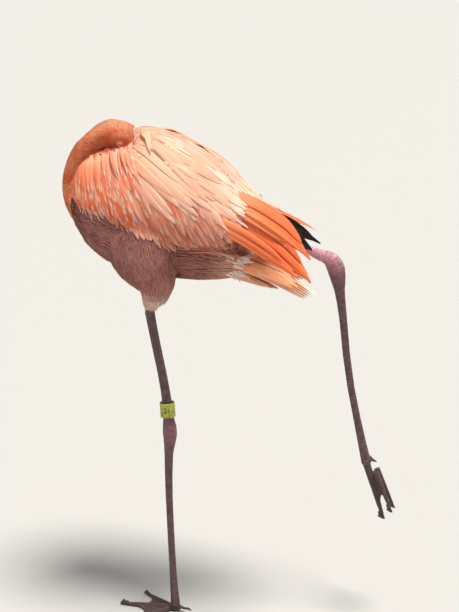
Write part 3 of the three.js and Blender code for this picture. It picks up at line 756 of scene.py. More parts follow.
def make_skin(paint):
    """One closed skin over trunk, neck, head, wings, legs and feet, with the lids on it."""
    inner = flesh_of(BODY)
    sink_by_coat(inner)
    shape = bmesh.new()
    shape.from_mesh(inner.data)
    for node in LEGS:
        shape.from_mesh(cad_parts[node].data)
    for start, end in (((-14, -48.5, 592), (-22, -45.2, 546)), ((84, 53.5, 686), (129, 51, 675))):
        add_rod(shape, np.array(start) * MM, np.array(end) * MM, ROD_RADIUS)
    claw_beds(shape)
    inner.data = bare_mesh("skin", shape)
    close_up(inner, SKIN_GRAIN, SKIN_ROUNDS, SKIN_KEPT)
    inner.data.calc_loop_triangles()
    triangles = np.empty(len(inner.data.loop_triangles) * 3, np.int32)
    inner.data.loop_triangles.foreach_get("vertices", triangles)
    triangles = triangles.reshape(-1, 3)
    points = points_of(inner)
    bpy.data.objects.remove(inner)
    lid_tones = [0.0] * len(points)
    for side in (LEFT, RIGHT):
        for upper, lid_tone in ((True, 0.45), (False, 1.0)):
            spots, quads = lid_shell(side, upper)
            quads = quads + len(points)
            triangles = np.concatenate([triangles, quads[:, [0, 1, 2]], quads[:, [0, 2, 3]]])
            points = np.concatenate([points, spots])
            lid_tones += [lid_tone] * len(spots)
    numbers = skin_numbers(points, np.array(lid_tones))
    hand_over(mesh_piece("skin", points, triangles, paint, numbers), BODY + LEGS)


def skin_numbers(points, lid_tones):
    """What the skin's paint asks at each point: the part it is on and its place down the leg."""
    names = Owners(BODY + LEGS).under(points)
    names[lid_tones > 0] = "head"
    bare = np.maximum(bare_face(points), soft_step((0.0090 - eye_gap(points)) / 0.0012))
    numbers = {"head_part": np.isin(names, ["head", "neck_top", "neck_middle", "neck_base"]),
               "wing_part": np.isin(names, WINGS),
               "leg_part": np.isin([name.split("_")[0] for name in names], ["shin", "ankle", "tarsus"]),
               "foot_part": np.isin([name.rsplit("_", 1)[0] for name in names], TOES),
               "bare_part": bare * (names == "head") * (lid_tones == 0),
               "lid_part": lid_tones}
    for name in ("sunlit_rose_part", "leg_run", "leg_turn", "joint_part"):
        numbers[name] = np.zeros(len(points))
    for side in (LEFT, RIGHT):
        mine = np.char.endswith(names, side)
        spots = points[mine]
        along, feet, ways = nearest_on_line(spots, LEG_LINES[side])
        front = units(np.cross([0, 1.0, 0], ways))
        numbers["leg_run"][mine] = along
        numbers["leg_turn"][mine] = np.arctan2(spots[:, 1] - feet[:, 1], ((spots - feet) * front).sum(1))
        from_ankle = np.linalg.norm(spots - ANKLES[side], axis=1)
        numbers["joint_part"][mine] = np.exp(-(from_ankle / 0.026) ** 2)
        # Painted light: the raised shin above the ankle is marked for the lighter rose, partly the leg's pink
        # and partly painted sunlight.
        if side == RIGHT:
            ankle = nearest_on_line(ANKLES[RIGHT][None], LEG_LINES[RIGHT])[0][0]
            numbers["sunlit_rose_part"][mine] = soft_step((ankle + 0.016 - along) / 0.030)
    return numbers


# ---------------------------------------------------------------- paints

# The third coral is the lighter tone painted over the crown as painted light.
CORAL, CORAL_DEEP, CORAL_TOPLIT = tone(255, 168, 122), tone(244, 112, 68), tone(255, 200, 166)
# The two blush tones are partly the trunk's own pink and partly painted shade, darkened as the underparts lie
# under the wing.
SHADED_BLUSH, SHADED_BLUSH_PALE = tone(150, 88, 80), tone(178, 116, 106)
PEACH, FLAME = tone(250, 190, 156), tone(240, 100, 46)


def coral_down(paint):
    """The neck's and head's velvet, a little deeper in patches, and paler over the crown as painted light on
    the top of the head.
    """
    spot = paint.place()
    patches = paint.noise(spot, 38.0, 3.0)
    coral = paint.mix(patches.between(0.35, 0.7), CORAL, CORAL_DEEP)
    _, _, z = paint.parts(spot)
    # Painted light: the higher the velvet lies, the more it is mixed towards the paler coral.
    return paint.mix((z + patches * 0.008).between(0.834, 0.858) * 0.8, coral, CORAL_TOPLIT)


def blush_down(paint):
    """The trunk's soft pink, darkened over the underparts and flanks as painted shade, and paler peach under
    the tail.
    """
    spot = paint.place()
    x, _, z = paint.parts(spot)
    patches = paint.noise(spot, 24.0, 3.0)
    body = paint.mix(patches.between(0.35, 0.68), SHADED_BLUSH, SHADED_BLUSH_PALE)
    return paint.mix((x - 0.2 * z).between(-0.07, 0.03), body, PEACH)


def wing_down(paint):
    """Under the wing feathers: orange at the shoulder, peach along the back."""
    x, _, z = paint.parts(paint.place())
    return paint.mix((x + z * 0.8).between(0.52, 0.66), FLAME, PEACH)


def skin_paint():
    paint = Paint("skin")
    run, turn, joint, leg, foot, sunlit_rose = (paint.attribute(name) for name in (
        "leg_run", "leg_turn", "joint_part", "leg_part", "foot_part", "sunlit_rose_part"))
    spot = paint.place()
    grain = paint.noise(spot, 160.0, 3.0)
    scutes = (run * 1250.0 + turn.sine() * 0.8).sine()
    pebbles = paint.cells(spot, 420.0).between(0.02, 0.22)
    # Leg colours: the dark mauve is partly the legs' own grey-mauve and partly painted shade; the lighter
    # rose over the raised shin is partly its pink and partly painted sunlight.
    rose = paint.mix(grain.between(0.25, 0.75), tone(168, 108, 122), tone(212, 160, 168))
    mauve = paint.mix(grain.between(0.3, 0.7), tone(70, 46, 50), tone(98, 70, 72))
    mauve = paint.mix(sunlit_rose, mauve, rose)
    mauve = paint.mix(scutes.between(0.55, 0.98) * (0.28 - 0.2 * sunlit_rose), mauve, tone(60, 40, 42))
    mauve = paint.mix(joint * 0.6, mauve, paint.mix(grain, tone(120, 62, 80), tone(170, 108, 122)))
    webbing = paint.mix(pebbles, tone(54, 38, 38), tone(90, 66, 64))
    face = paint.mix(grain, tone(206, 160, 152), tone(232, 200, 190))
    lid = paint.mix(grain, tone(222, 180, 168), tone(240, 214, 202))
    colour = paint.mix(paint.attribute("wing_part"), blush_down(paint), wing_down(paint))
    colour = paint.mix(paint.attribute("head_part"), colour, coral_down(paint))
    colour = paint.mix(paint.attribute("bare_part"), colour, face)
    colour = paint.mix(leg, colour, mauve)
    colour = paint.mix(foot, colour, webbing)
    colour = paint.mix(paint.attribute("lid_part"), colour, lid)
    height = (grain * 0.5 + scutes * leg * 0.5 + pebbles * foot * 0.8
              + (turn * 6.0).sine() * joint * 0.35)
    return paint.finish(colour, 0.62 - 0.12 * leg, paint.bump(height, 0.0006, 0.7))


def feather_paint(name, heart, rim, root, rim_from=0.35, rim_to=0.95, streak=0.5, tip=None,
                  roughness=0.7, low=None):
    """A vane: its own heart, rim and root colours, soft streaks along it and barbs from the shaft, and with
    low given, painted shade darkening it below those heights.
    """
    paint = Paint(name)
    across, along = paint.vane()
    side = abs(across)
    shade = paint.attribute("shade")
    own_place = paint.join(across * 6.5 + shade * 40.0, along * 1.3, shade * 23.0)
    lengthwise = paint.noise(own_place, 1.5, 3.0, 0.55)
    spot = paint.place()
    barbs = (along * 420.0 - side * 60.0 + paint.noise(spot, 55.0, 2.0) * 9.0).sine()
    rimmed = (side + lengthwise * 0.7 - 0.35).between(rim_from, rim_to)
    colour = paint.mix((along + lengthwise * 0.25).between(0.15, 0.62), root, heart)
    for share in (lengthwise.between(0.42, 0.66) * streak, rimmed, paint.attribute("pale")):
        colour = paint.mix(share, colour, rim)
    if tip is not None:
        colour = paint.mix((along + lengthwise * 0.2).between(0.86, 1.08), colour, tip)
    dark = paint.mix(1.0, colour, (0.86, 0.80, 0.78, 1), "MULTIPLY")
    colour = paint.mix(shade.between(0.15, 0.95), dark, colour)
    # Painted shade: below the heights given as low the vane is darkened, as the lower wing lies in shadow.
    if low is not None:
        under = paint.mix(1.0, colour, (0.72, 0.60, 0.58, 1), "MULTIPLY")
        _, _, z = paint.parts(spot)
        colour = paint.mix(z.between(*low), under, colour)
    shaft = 1.0 - side.between(0.02, 0.09)
    height = barbs * 0.05 + shaft * 0.5 + lengthwise * 0.6
    return paint.finish(colour, roughness, paint.bump(height, 0.00035, 0.45), Specular_IOR_Level=0.28)


def down_paint(name, colour_of, pale_tone, roughness=0.8):
    """Small soft feathers in the colours of the skin under them, a little paler at the tips."""
    paint = Paint(name)
    across, along = paint.vane()
    shade = paint.attribute("shade")
    under = colour_of(paint)
    deep = paint.mix(1.0, under, (0.90, 0.83, 0.82, 1), "MULTIPLY")
    colour = paint.mix((along * 0.7 + shade * 0.5).between(0.15, 0.75), deep, under)
    colour = paint.mix(along.between(0.55, 1.0) * 0.18 + abs(across) * 0.08, colour, pale_tone)
    colour = paint.mix(paint.attribute("pale"), colour, pale_tone)
    strands = (across * 9.0 + shade * 30.0).sine()
    return paint.finish(colour, roughness, paint.bump(strands, 0.00025, 0.5), Specular_IOR_Level=0.25)


# ---------------------------------------------------------------- plumage

BLADE_WIDTHS = ([0, 0.3, 0.6, 0.85, 1.0], [0.85, 1.0, 1.0, 0.68, 0.1])
TERTIALS = {
    LEFT: {"lower": ((84, -69, 708), (164, -78, 678), (226, -58, 613), 25),
           "middle": ((92, -60, 716), (186, -70, 689), (242, -50, 606), 42),
           "upper": ((104, -50, 738), (188, -60, 713), (235, -47, 648), 42)},
    RIGHT: {"lower": ((84, 64, 700), (146, 70, 690), (204, 56, 668), 30),
            "middle": ((92, 56, 710), (165, 60, 693), (228, 40, 660), 34),
            "upper": ((104, 40, 723), (178, 43, 703), (237, 22, 677), 32)}}
TERTIAL_FACES = {"upper": (0.25, 0.8, 0.7), "middle": (0.22, 1, 0.28), "lower": (0.18, 1, 0.12)}
PRIMARIES = {LEFT: ((110, -22, 728), (186, -26, 694), (238, -14, 652), 32),
             RIGHT: ((110, 18, 710), (186, 20, 692), (243, 10, 661), 34)}


def fan(root, bend, tip, width, face, count, feather, stagger, rng):
    """The separate feathers that lie side by side in one long blade of the wing."""
    shares = np.linspace(0, 1, 16)
    feathers = []
    for k in range(count):
        spread = 2 * k / (count - 1) - 1
        reach = 1 - stagger * (abs(spread) ** 1.5) * (0.8 + 0.4 * rng.random()) - 0.05 * rng.random()
        line, way = bezier(root, np.array(bend) + 2.0 * rng.standard_normal(3), tip, shares * reach)
        across = units(np.cross(np.array(face, float), way))
        room = np.interp(shares * reach, *BLADE_WIDTHS) * width / 2 * MM
        shift = spread * np.maximum(room - feather * MM * 0.42, 0.15 * room)
        line = line + across * shift[:, None]
        halves = feather / 2 * MM * outline(shares * BODY_END, 0.35, 0.55) * (0.94 + 0.12 * rng.random())
        heights = (0.2 + 0.55 * k * (1 - 0.5 * shares)) * MM
        feathers.append((line, np.cross(way, across), units(np.gradient(line, axis=0)), halves, heights))
    return feathers


def long_feathers(flame, black):
    for side, seed in ((LEFT, 31), (RIGHT, 37)):
        rng = np.random.default_rng(seed)
        feathers = []
        for part, (root, bend, tip, width) in TERTIALS[side].items():
            x, y, z = TERTIAL_FACES[part]
            face = (x, y * OUTWARD[side], z) if (side, part) != (RIGHT, "upper") else (0.3, 0.05, 1.0)
            feathers += fan(root, bend, tip, width, face, 7, width * 0.40, 0.22, rng)
        quills(f"tertials_{side}", feathers, flame, 41,
               [f"wing_{side}_tertials_{part}" for part in TERTIALS[side]])
        root, bend, tip, width = PRIMARIES[side]
        feathers = fan(root, bend, tip, width, (0.2, OUTWARD[side], 0.35), 5, width * 0.46, 0.14, rng)
        quills(f"primaries_{side}", feathers, black, 43, [f"wing_{side}_primaries"])


TAIL_SHARES = np.linspace(0, 1, 15)


def tail_vanes(rng, row, arc, reach, back, root, rise, slope, bend, tip, facing, half):
    """Two rows of feathers round the root of the tail: over it, or with rise below 0 under it."""
    feathers = []
    for k in range(2 * row):
        turn = -arc + 2 * arc * (k % row + rng.random()) / row
        long = reach[0] + reach[1] * rng.random()
        behind = back[0] * (k // row) + back[1] * rng.random()
        side, up = math.sin(turn), math.cos(turn)
        start = np.array([root[0] + behind, root[1] * side, root[2] + rise * up - slope * behind])
        scale = np.array([long, side, long])
        line, way = bezier(start, start + scale * bend, start + scale * tip, TAIL_SHARES)
        face = (facing, side, math.copysign(up, rise))
        feathers.append(blade(line, way, face, half, 0.35, 0.6, 0.5 + 2 * rng.random()))
    return feathers


def tail_feathers(paint, covert_paint, pale_paint):
    """Twelve tail feathers laid like a roof, the middle pair on top, and their coverts over and under."""
    rng = np.random.default_rng(53)
    feathers = []
    for k in range(5, -1, -1):
        lean = math.radians(9 * k)
        side, drop = math.sin(lean), 1 - math.cos(lean)
        for sign in (-1, 1):
            line, way = bezier((108, sign * (2 + 22 * side), 641 - 22 * drop),
                               (172, sign * (3 + 24 * side), 621 - 26 * drop),
                               (238 - 3.4 * k, sign * (2 + 10 * side), 578 - 9 * drop), TAIL_SHARES)
            facing = (0.4, sign * side, math.cos(lean))
            feathers.append(blade(line, way, facing, 10, 0.3, 0.7, 0.6 * (5 - k)))
    quills("tail_feathers", feathers, paint, 59, ["tail"])
    above = tail_vanes(rng, row=27, arc=1.45, reach=(0.75, 0.45), back=(18, 10), root=(92, 25, 632), rise=22,
                       slope=0.20, bend=(44, 5, -7), tip=(86, 1.5, -34), facing=0.35, half=7.5)
    below = tail_vanes(rng, row=22, arc=1.35, reach=(0.7, 0.5), back=(16, 12), root=(86, 23, 622), rise=-12,
                       slope=0.15, bend=(30, 3, -3), tip=(60, 1, -16), facing=-0.1, half=7)
    quills("tail_coverts_upper", above, covert_paint, 61, thick=0.00025)
    quills("tail_coverts_under", below, pale_paint, 67, thick=0.00025)


def fluff(name, centre, reach, count, length, way, paint, seed):
    """A loose tuft of down: fine plumes from one patch, each curling its own way."""
    rng = np.random.default_rng(seed)
    plumes = []
    for _ in range(count):
        start = np.array(centre, float) + rng.standard_normal(3) * np.array(reach, float)
        aim = units(np.array(way, float) + 0.30 * rng.standard_normal(3))
        curl = 0.35 * length * rng.standard_normal(3)
        size = length * (0.7 + 0.6 * rng.random())
        line, ways = bezier(start, start + aim * size * 0.55 + curl * 0.3,
                            start + aim * size + curl * 0.4, np.linspace(0, 1, 9))
        facing = (0.3 * rng.standard_normal(), -1.0, 0.6 + 0.4 * rng.standard_normal())
        plumes.append(blade(line, ways, facing, 1.9, 0.3, 0.7, 0.0))
    quills(name, plumes, paint, seed, thick=0.0002, camber=0.3)


BED_GROUND = ("trunk", "wing_left_shoulder", "wing_right_shoulder")


def ground_below(form, place, owners):
    """The first spot under this place, in millimetres, that belongs to one of these nodes."""
    start = place * MM
    for _ in range(8):
        hit, normal, face, _ = form.tree.ray_cast(start.tolist(), (0, 0, -1))
        if hit is None:
            return None
        if normal.z > 0.15 and form.owner[face] in owners:
            return np.array(hit) / MM
        start = np.array(hit) + np.array([0, 0, -0.0004])
    return None


def neck_bed(form, paint):
    """The soft feathers of the back that stand up round the neck where it lies between the wings, coloured
    dark coral as painted shade in the crease under the neck.
    """
    rng = np.random.default_rng(83)
    tufts = []
    for x in np.arange(-138, -86, 3.0):
        for y in np.arange(-31, 32, 3.9):
            place = np.array([x + 2 * rng.standard_normal(), y + 1.5 * rng.standard_normal(), 860.0])
            spot = ground_below(form, place, BED_GROUND)
            if spot is None:
                continue
            side = y / 31
            start = spot - np.array([0, 0, 2.0])
            reach = (11 + 4 * rng.random() + 3 * (x > -114)) * (1.4 if y > -5 else 0.6)
            end = start + np.array([12 + 5 * rng.random(), 6 * side + 2 * rng.standard_normal(),
                                    reach * (0.95 - 0.45 * abs(side))])
            bend = start + np.array([1, 4 * side, reach * 0.75])
            line, way = bezier(start, bend, end, np.linspace(0, 1, 10))
            facing = (-0.8, side + 0.3 * rng.standard_normal(), 0.35)
            tufts.append(blade(line, way, facing, 2.5, 0.25, 0.35, 0.0))
    quills("neck_bed", tufts, paint, 89, thick=0.0002, camber=0.2)


def smooth_line(stops, stations):
    """A soft curve through these stops, evenly divided."""
    stops = np.array(stops, float) * MM
    runs = np.concatenate([[0], np.cumsum(np.linalg.norm(np.diff(stops, axis=0), axis=1))])
    dense = np.linspace(0, runs[-1], 80)
    line = np.stack([np.interp(dense, runs, stops[:, axis]) for axis in range(3)], 1)
    for _ in range(60):
        line[1:-1] = line[1:-1] * 0.5 + (line[:-2] + line[2:]) * 0.25
    picks = np.linspace(0, 79, stations)
    return np.stack([np.interp(picks, np.arange(80), line[:, axis]) for axis in range(3)], 1)


def drop_on(form, x, y, lift):
    """The spot over the plumage's form at this x and y, lifted off it, in millimetres."""
    aim = 0.850
    for _ in range(5):
        hit, normal, _ = form.nearest(np.array([[x * MM, y * MM, aim]]))
        aim = hit[0, 2] + 0.004
    return (hit[0] + normal[0] * lift * MM) / MM


def cowl_spot(form, x, y, top, lift):
    """Over the bill at this height, and down on the plumage at both sides of it, in millimetres."""
    low = drop_on(form, x, y, 0.0)[2]
    over_bill = math.exp(-(y / (34 if y < 0 else 17)) ** 4)
    return (x, y, low + over_bill * max(0.0, top - low) + lift)


def mantle(form, paint, tip_paint):
    """The feathers drawn over the tucked bill: a cowl from one wing to the other."""
    rng = np.random.default_rng(71)
    stations = 16
    feathers = []
    for row, (behind, reach, count) in enumerate(((0, 64, 17), (16, 78, 16), (34, 84, 15), (54, 84, 14))):
        for k in range(count):
            share = (k + 0.3 * rng.random()) / (count - 1)
            y = -48 + 96 * share
            x = -36 - 14 * math.sin(math.pi * min(1.0, max(0.0, share))) + behind
            top = 837 - 25 * (abs(y + 4) / (50 if y < -4 else 38)) ** 2.2
            end = drop_on(form, x + reach * (0.85 + 0.3 * rng.random()),
                          y * 1.08 + 3 * rng.standard_normal(), 2.2)
            if row == 0:
                stops = [(x + ahead, y, top + lift)
                         for ahead, lift in ((9, -11), (1, -5), (4, 1), (24, 1.5))]
            else:
                stops = [cowl_spot(form, x + ahead, y, top - 0.2 * (behind + ahead), lift)
                         for ahead, lift in ((-12, -7.0), (0, -2.5), (14, 0.0), (32, 1.2))]
            line = smooth_line(stops + [tuple(end)], stations)
            line[:, 2] -= 3.4 * MM * soft_step((line[:, 1] / MM - 4) / 14)
            line[:, 2] -= 1.4 * MM * soft_step((-line[:, 1] / MM - 12) / 14)
            facing = (0.25, np.clip(y / 46, -1.1, 0.2), 1.0)
            feathers.append(blade(line, units(np.gradient(line, axis=0)), facing,
                                  9.5 * (0.85 + 0.3 * rng.random()), 0.3, 0.6, 0.4 * rng.random()))
    quills("mantle_feathers", feathers, paint, 73, thick=0.00025, camber=0.08)
    line = smooth_line([(-30, -30, 834), (-18, -53, 829), tuple(drop_on(form, -9, -76, 2.4))], stations)
    way = units(np.gradient(line, axis=0))
    across = units(np.cross([0.25, -1.0, 0.5], way))
    halves = 7.2 * MM * np.clip(1.3 - 1.27 * np.linspace(0, 1, stations), 0.03, 1) ** 0.8
    hooked = [(line, np.cross(way, across), way, halves, np.full(stations, 0.8 * MM))]
    quills("mantle_tips", hooked, tip_paint, 79, thick=0.00022, camber=0.08)


def plumage(form):
    coral = down_paint("coral_velvet", coral_down, tone(250, 160, 122), 0.75)
    blush = down_paint("blush_down", blush_down, tone(236, 196, 184))
    # Shoulder and covert vanes carry painted shade on their lower part, through low.
    shoulder = feather_paint("shoulder_feathers", tone(236, 104, 52), tone(248, 200, 172),
                             tone(244, 150, 100), 0.70, 1.2, 0.25, tone(252, 226, 210), low=(0.690, 0.745))
    coverts = feather_paint("covert_feathers", tone(222, 118, 84), tone(238, 182, 158), tone(222, 92, 50),
                            0.5, 1.1, 0.40, tone(240, 200, 182), low=(0.680, 0.745))
    scapulars = feather_paint("scapular_feathers", tone(240, 170, 138), tone(248, 208, 188),
                              tone(234, 138, 94), 0.45, 1.1, 0.4)
    hooked = feather_paint("hooked_feathers", tone(244, 172, 138), tone(247, 196, 172), tone(242, 160, 122),
                           streak=0.4, tip=tone(224, 86, 48))
    flame = feather_paint("tertial_feathers", tone(238, 106, 54), tone(251, 168, 120), tone(247, 148, 102),
                          0.7, 1.3, 0.35)
    tail = feather_paint("tail_vanes", tone(255, 178, 122), tone(255, 224, 204), tone(248, 142, 92),
                         0.7, 1.15, 0.3, tone(255, 240, 232))
    tail_coverts = feather_paint("tail_covert_vanes", tone(254, 170, 118), tone(254, 206, 180),
                                 tone(247, 136, 86), 0.65, 1.2, 0.35)
    under = feather_paint("under_tail_vanes", tone(232, 150, 120), tone(244, 196, 172),
                          tone(214, 128, 104), 0.6, 1.2)
    black = feather_paint("primary_vanes", tone(22, 19, 20), tone(34, 30, 31), tone(16, 14, 15),
                          0.7, 1.3, 0.3, roughness=0.42)
    cover(form, "head_velvet", NECK_LINE, ["head"], lie_head, coral,
          spacing=0.00105, length=0.0062, half=0.0006, stations=3, sink=0.0005, proud=0.0003, seed=3,
          stray=0.12, thick=0.00012, keep=clear_of_face)
    cover(form, "neck_velvet", NECK_LINE, ["neck_top", "neck_middle", "neck_base"], lie_along(NECK_LINE),
          coral, spacing=0.00135, length=0.0092, half=0.0008, stations=4, sink=0.0007,
          proud=0.0004, seed=5, stray=0.11, thick=0.00015)
    cover(form, "trunk_down", TRUNK_LINE, ["trunk"], lie_trunk, blush, spacing=0.0031,
          length=0.021, half=0.0019, stations=4, sink=0.0008, proud=0.0006, seed=7, stray=0.09, thick=0.00025)
    for side, seed in ((LEFT, 11), (RIGHT, 13)):
        ground = [node for node in WINGS if side in node]
        rooted = sits_outward(side, 0.05)
        cover(form, f"thigh_down_{side}", THIGH_LINES[side], [f"thigh_{side}"],
              lie_along(THIGH_LINES[side]), blush, spacing=0.0024, length=0.017,
              half=0.0015, stations=4, sink=0.0008, proud=0.0006, seed=seed, stray=0.09, thick=0.00022,
              pale=lambda spots, rng: 0.9 * soft_step((0.600 - spots[:, 2]) / 0.03))
        cover(form, f"coverts_{side}", TRUNK_LINE, [f"wing_{side}_coverts"],
              lie_wing(side, 0.25, 0.62, 1.0, 0.6), coverts, spacing=0.0066, length=0.090,
              half=0.0064, stations=12, sink=0.0010, proud=0.0016, seed=seed + 20, stray=0.06,
              thick=0.00022, camber=0.06, over=ground, overhang=0.012, sits=sits_outward(side, -0.3),
              pale=lambda spots, rng: 0.75 * rng.random(len(spots)) ** 2)
        cover(form, f"shoulder_coverts_{side}", TRUNK_LINE, [f"wing_{side}_shoulder"],
              lie_wing(side, 0.12, 0.95, 1.0, 1.3), shoulder, spacing=0.0056,
              length=0.060, half=0.0050, stations=10, sink=0.0010, proud=0.0016, seed=seed + 30,
              stray=0.07, thick=0.00020, camber=0.08, over=ground, overhang=0.012, shape=(0.35, 0.8),
              sits=rooted, pale=lambda spots, rng: (0.8 * rng.random(len(spots)) ** 5
                                                    + 0.35 * soft_step((spots[:, 2] - 0.785) / 0.030)))
        cover(form, f"shoulder_cape_{side}", TRUNK_LINE, [f"wing_{side}_shoulder"],
              lie_wing(side, 0.6, 0.95, 0.6, 0.9), shoulder, spacing=0.0036,
              length=0.019, half=0.0022, stations=4, sink=0.0008, proud=0.0007, seed=seed + 50,
              stray=0.10, thick=0.00020, sits=lambda normals, rooted=rooted: ~rooted(normals))
        cover(form, f"scapulars_{side}", TRUNK_LINE, [f"wing_{side}_scapulars"],
              lie_wing(side, 0.55, 1.05, 0.78, 0.25), scapulars, spacing=0.0080,
              length=0.120, half=0.0086, stations=14, sink=0.0012, proud=0.0020, seed=seed + 40,
              stray=0.06, thick=0.00024, camber=0.06, over=ground, overhang=0.014, shape=(0.3, 0.62),
              sits=sits_outward(side, -2.0), pale=lambda spots, rng: (
                  0.6 * rng.random(len(spots)) ** 2 + 0.45 * soft_step((spots[:, 0] + 0.02) / 0.08)))
    mantle(form, scapulars, hooked)
    long_feathers(flame, black)
    tail_feathers(tail, tail_coverts, under)
    # The neck bed's coral is darkened as painted shade of the crease under the neck.
    neck_bed(form, feather_paint("neck_bed_shaded_down", tone(176, 76, 48), tone(198, 100, 70), tone(140, 56, 38)))
    white = feather_paint("white_down", tone(250, 222, 208), tone(255, 244, 238), tone(244, 196, 180),
                          0.4, 1.0)
    for side, out in OUTWARD.items():
        fluff(f"tail_down_{side}", (112, 25 * out, 618), (6, 1.5, 3), 70, 15, (1.0, 0.25 * out, -0.25),
              white, 91)
        fluff(f"flank_down_{side}", (96, 30 * out, 650), (8, 2, 3.5), 70, 18, (1.0, 0.3 * out, -0.1),
              white, 97)
        fluff(f"root_down_{side}", (112, 34 * out, 648), (8, 3, 6), 90, 18, (1.0, 0.25 * out, -0.2),
              white, 101)


# ---------------------------------------------------------------- horn, eyes and band

def bill():
    paint = Paint("bill_horn")
    reach = paint.attribute("from_root")
    grain = paint.noise(paint.place(), 210.0, 3.0)
    pink = paint.mix(grain.between(0.3, 0.7), tone(232, 176, 164), tone(240, 206, 190))
    pink = paint.mix(reach.between(0.028, 0.058), pink, tone(238, 150, 128))
    colour = paint.mix((reach + grain * 0.006).between(0.066, 0.072), pink, tone(24, 21, 22))
    horn = paint.finish(colour, 0.42, paint.bump(grain, 0.0003, 0.5))
    for node in ("bill_upper", "bill_lower"):
        piece = blend_of(f"{node}_horn", [node], 0.0008, 4)
        piece.data.materials.append(horn)
        write_numbers(piece.data, "from_root", np.linalg.norm(points_of(piece) - BILL_ROOT, axis=1))
        hand_over(piece, [node])


def claws():
    paint = Paint("claw_horn")
    grain = paint.noise(paint.place(), 400.0, 3.0)
    horn = paint.finish(paint.mix(grain, tone(34, 28, 28), tone(70, 58, 56)), 0.4,
                        paint.bump(grain, 0.0002, 0.4))
    for name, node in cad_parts.items():
        if name.startswith("claw"):
            node.data.materials.clear()
            node.data.materials.append(horn)


def eyes():
    paint = Paint("eye_ball")
    iris = paint.attribute("iris")
    colour = paint.mix(iris.between(0.40, 0.47), tone(236, 196, 70), tone(12, 10, 10))
    colour = paint.mix(iris.between(0.0, 0.12), tone(90, 40, 36), colour)
    paint.finish(colour, 0.06, None, Coat_Weight=1.0)
    for side, centre in EYES.items():
        ball = bmesh.new()
        bmesh.ops.create_uvsphere(ball, u_segments=40, v_segments=24, radius=EYE_RADIUS)
        piece = put(f"eyeball_{side}", bare_mesh(f"eyeball_{side}", ball))
        spots = points_of(piece)
        facing = spots @ EYE_WAYS[side] / EYE_RADIUS
        spots += EYE_WAYS[side] * (0.0006 * soft_step((facing - 0.80) / 0.2))[:, None]
        set_points(piece, spots + centre)
        write_numbers(piece.data, "iris", np.clip((facing - 0.55) / 0.45, 0, 1))
        piece.data.shade_smooth()
        piece.data.materials.append(paint.material)
        hand_over(piece, [f"eye_{side}"])


BAND_CENTRE = MM * np.array([2.0, -32.0, 382.0])
BAND_RADIUS, BAND_WALL, BAND_HALF = 0.0112, 0.0012, 0.0120
BAND_LEAN = np.array([-0.07, 0.045, 1.0]) / np.linalg.norm([-0.07, 0.045, 1.0])
BAND_SECTION = [(-1.0, 0.16), (-1.0, 0.84), (-0.96, 1.0), (-0.5, 1.0), (0.5, 1.0), (0.96, 1.0), (1.0, 0.84),
                (1.0, 0.16), (0.96, 0.0), (-0.96, 0.0)]


def on_band(turn, rise, out):
    """A spot on the band: the turn round it from +X, the height on it, and out from its inner wall."""
    sideways = units(np.cross([0, 1.0, 0], BAND_LEAN))
    ahead = np.cross(BAND_LEAN, sideways)
    return (BAND_CENTRE + (BAND_RADIUS + out) * (math.cos(turn) * sideways + math.sin(turn) * ahead)
            + BAND_LEAN * rise)


def leg_band():
    """A flat plastic strip wound once round the shin and lapped over its own end."""
    paint = Paint("band_plastic")
    spot = paint.place()
    x, y, z = paint.parts(spot)
    scuffs = paint.noise(paint.join(x, y, z * 0.25), 520.0, 4.0, 0.65)
    grime = paint.noise(spot, 130.0, 3.0)
    colour = paint.mix(scuffs.between(0.5, 0.75) * 0.5, tone(156, 158, 66), tone(196, 196, 120))
    colour = paint.mix(grime.between(0.52, 0.72) * 0.55, colour, tone(92, 88, 44))
    paint.finish(colour, 0.38 + 0.25 * grime, paint.bump(scuffs, 0.0002, 0.5))
    steps, start, sweep = 110, math.radians(-32), math.radians(392)
    points, faces = [], []
    for share in np.linspace(0, 1, steps):
        lap = 0.0014 * soft_step((share * sweep - math.radians(330)) / math.radians(30))
        points += [on_band(start - sweep * share, rise * BAND_HALF, lap + out * BAND_WALL)
                   for rise, out in BAND_SECTION]
    ring = len(BAND_SECTION)
    for low in range(0, (steps - 1) * ring, ring):
        for k in range(ring):
            a, b = low + k, low + (k + 1) % ring
            faces += [(a, b, b + ring), (a, b + ring, a + ring)]
    last = (steps - 1) * ring
    for k in range(1, ring - 1):
        faces += [(0, k + 1, k), (last, last + k, last + k + 1)]
    band = mesh_piece("leg_band_strip", np.array(points), np.array(faces), paint.material)
    hand_over(band, ["leg_band"])


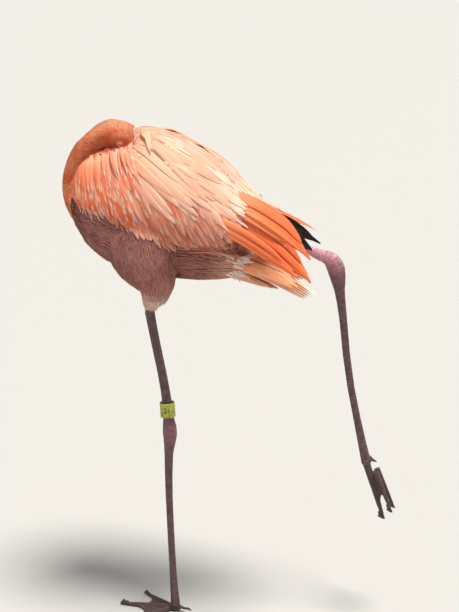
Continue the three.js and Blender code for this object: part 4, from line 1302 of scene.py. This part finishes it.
def band_number():
    """The digits on the band, raised a little off it."""
    ink = Paint("band_ink")
    worn = ink.noise(ink.place(), 300.0, 4.0)
    ink.finish(ink.mix(worn.between(0.5, 0.8) * 0.5, tone(20, 20, 18), tone(70, 70, 44)), 0.5)
    text = bpy.data.curves.new("band_number", "FONT")
    text.body = "24"
    text.size = 0.0125
    text.align_x = "CENTER"
    text.align_y = "CENTER"
    holder = put("band_number_text", text)
    bpy.context.view_layer.update()
    shape = bmesh.new()
    shape.from_mesh(bpy.data.meshes.new_from_object(holder))
    bpy.data.objects.remove(holder)
    for cut in np.arange(-0.012, 0.012, 0.0008):
        everything = shape.verts[:] + shape.edges[:] + shape.faces[:]
        bmesh.ops.bisect_plane(shape, geom=everything, plane_co=(cut, 0, 0), plane_no=(1, 0, 0))
    made = bmesh.ops.extrude_face_region(shape, geom=shape.faces[:])
    for part in made["geom"]:
        if isinstance(part, bmesh.types.BMVert):
            part.co.z = 0.0003
    for vertex in shape.verts:
        x, y, z = vertex.co
        turn = math.radians(-78) + x / (BAND_RADIUS + BAND_WALL)
        vertex.co = on_band(turn, y, BAND_WALL - 0.0001 + z)
    bmesh.ops.recalc_face_normals(shape, faces=shape.faces)
    number = put("band_number", bare_mesh("band_number", shape))
    number.data.materials.append(ink.material)
    hand_over(number)


# ---------------------------------------------------------------- studio

def studio():
    disc = bmesh.new()
    bmesh.ops.create_circle(disc, cap_ends=True, segments=96, radius=70)
    floor = put("floor", bare_mesh("floor", disc))
    floor.location.z = -0.0002
    floor.data.materials.append(Paint("studio_floor").finish(tone(182, 181, 178), 0.9))
    walls = Paint("studio_walls", "worlds")
    _, _, z = walls.parts(walls.node("ShaderNodeTexCoord", out="Generated"))
    light = walls.mix(z.between(0.07, 0.32), (0.90, 0.875, 0.82, 1), (0.27, 0.275, 0.285, 1))
    backdrop = walls.node("ShaderNodeBackground", None, {"Color": light, "Strength": 1.0})
    walls.node("ShaderNodeOutputWorld", None, {"Surface": backdrop})
    bpy.context.scene.world = walls.material
    for name, (x, y, z), spread, strength, colour in (
            ("key", (0.26, -0.20, 1.20), 18, 4.9, (1.0, 0.965, 0.91)),
            ("fill", (-0.7, -1.2, 0.6), 60, 0.30, (0.95, 0.96, 1.0)),
            ("rim", (0.8, 0.9, 0.7), 40, 0.45, (1.0, 0.97, 0.94))):
        lamp = bpy.data.lights.new(name, "SUN")
        lamp.angle = math.radians(spread)
        lamp.energy = strength
        lamp.color = colour
        put(name, lamp).rotation_euler = (0, math.atan2(math.hypot(x, y), z), math.atan2(y, x))


make_skin(skin_paint())
plumage(Form(BODY + LONG))
bill()
claws()
eyes()
leg_band()
band_number()
studio()
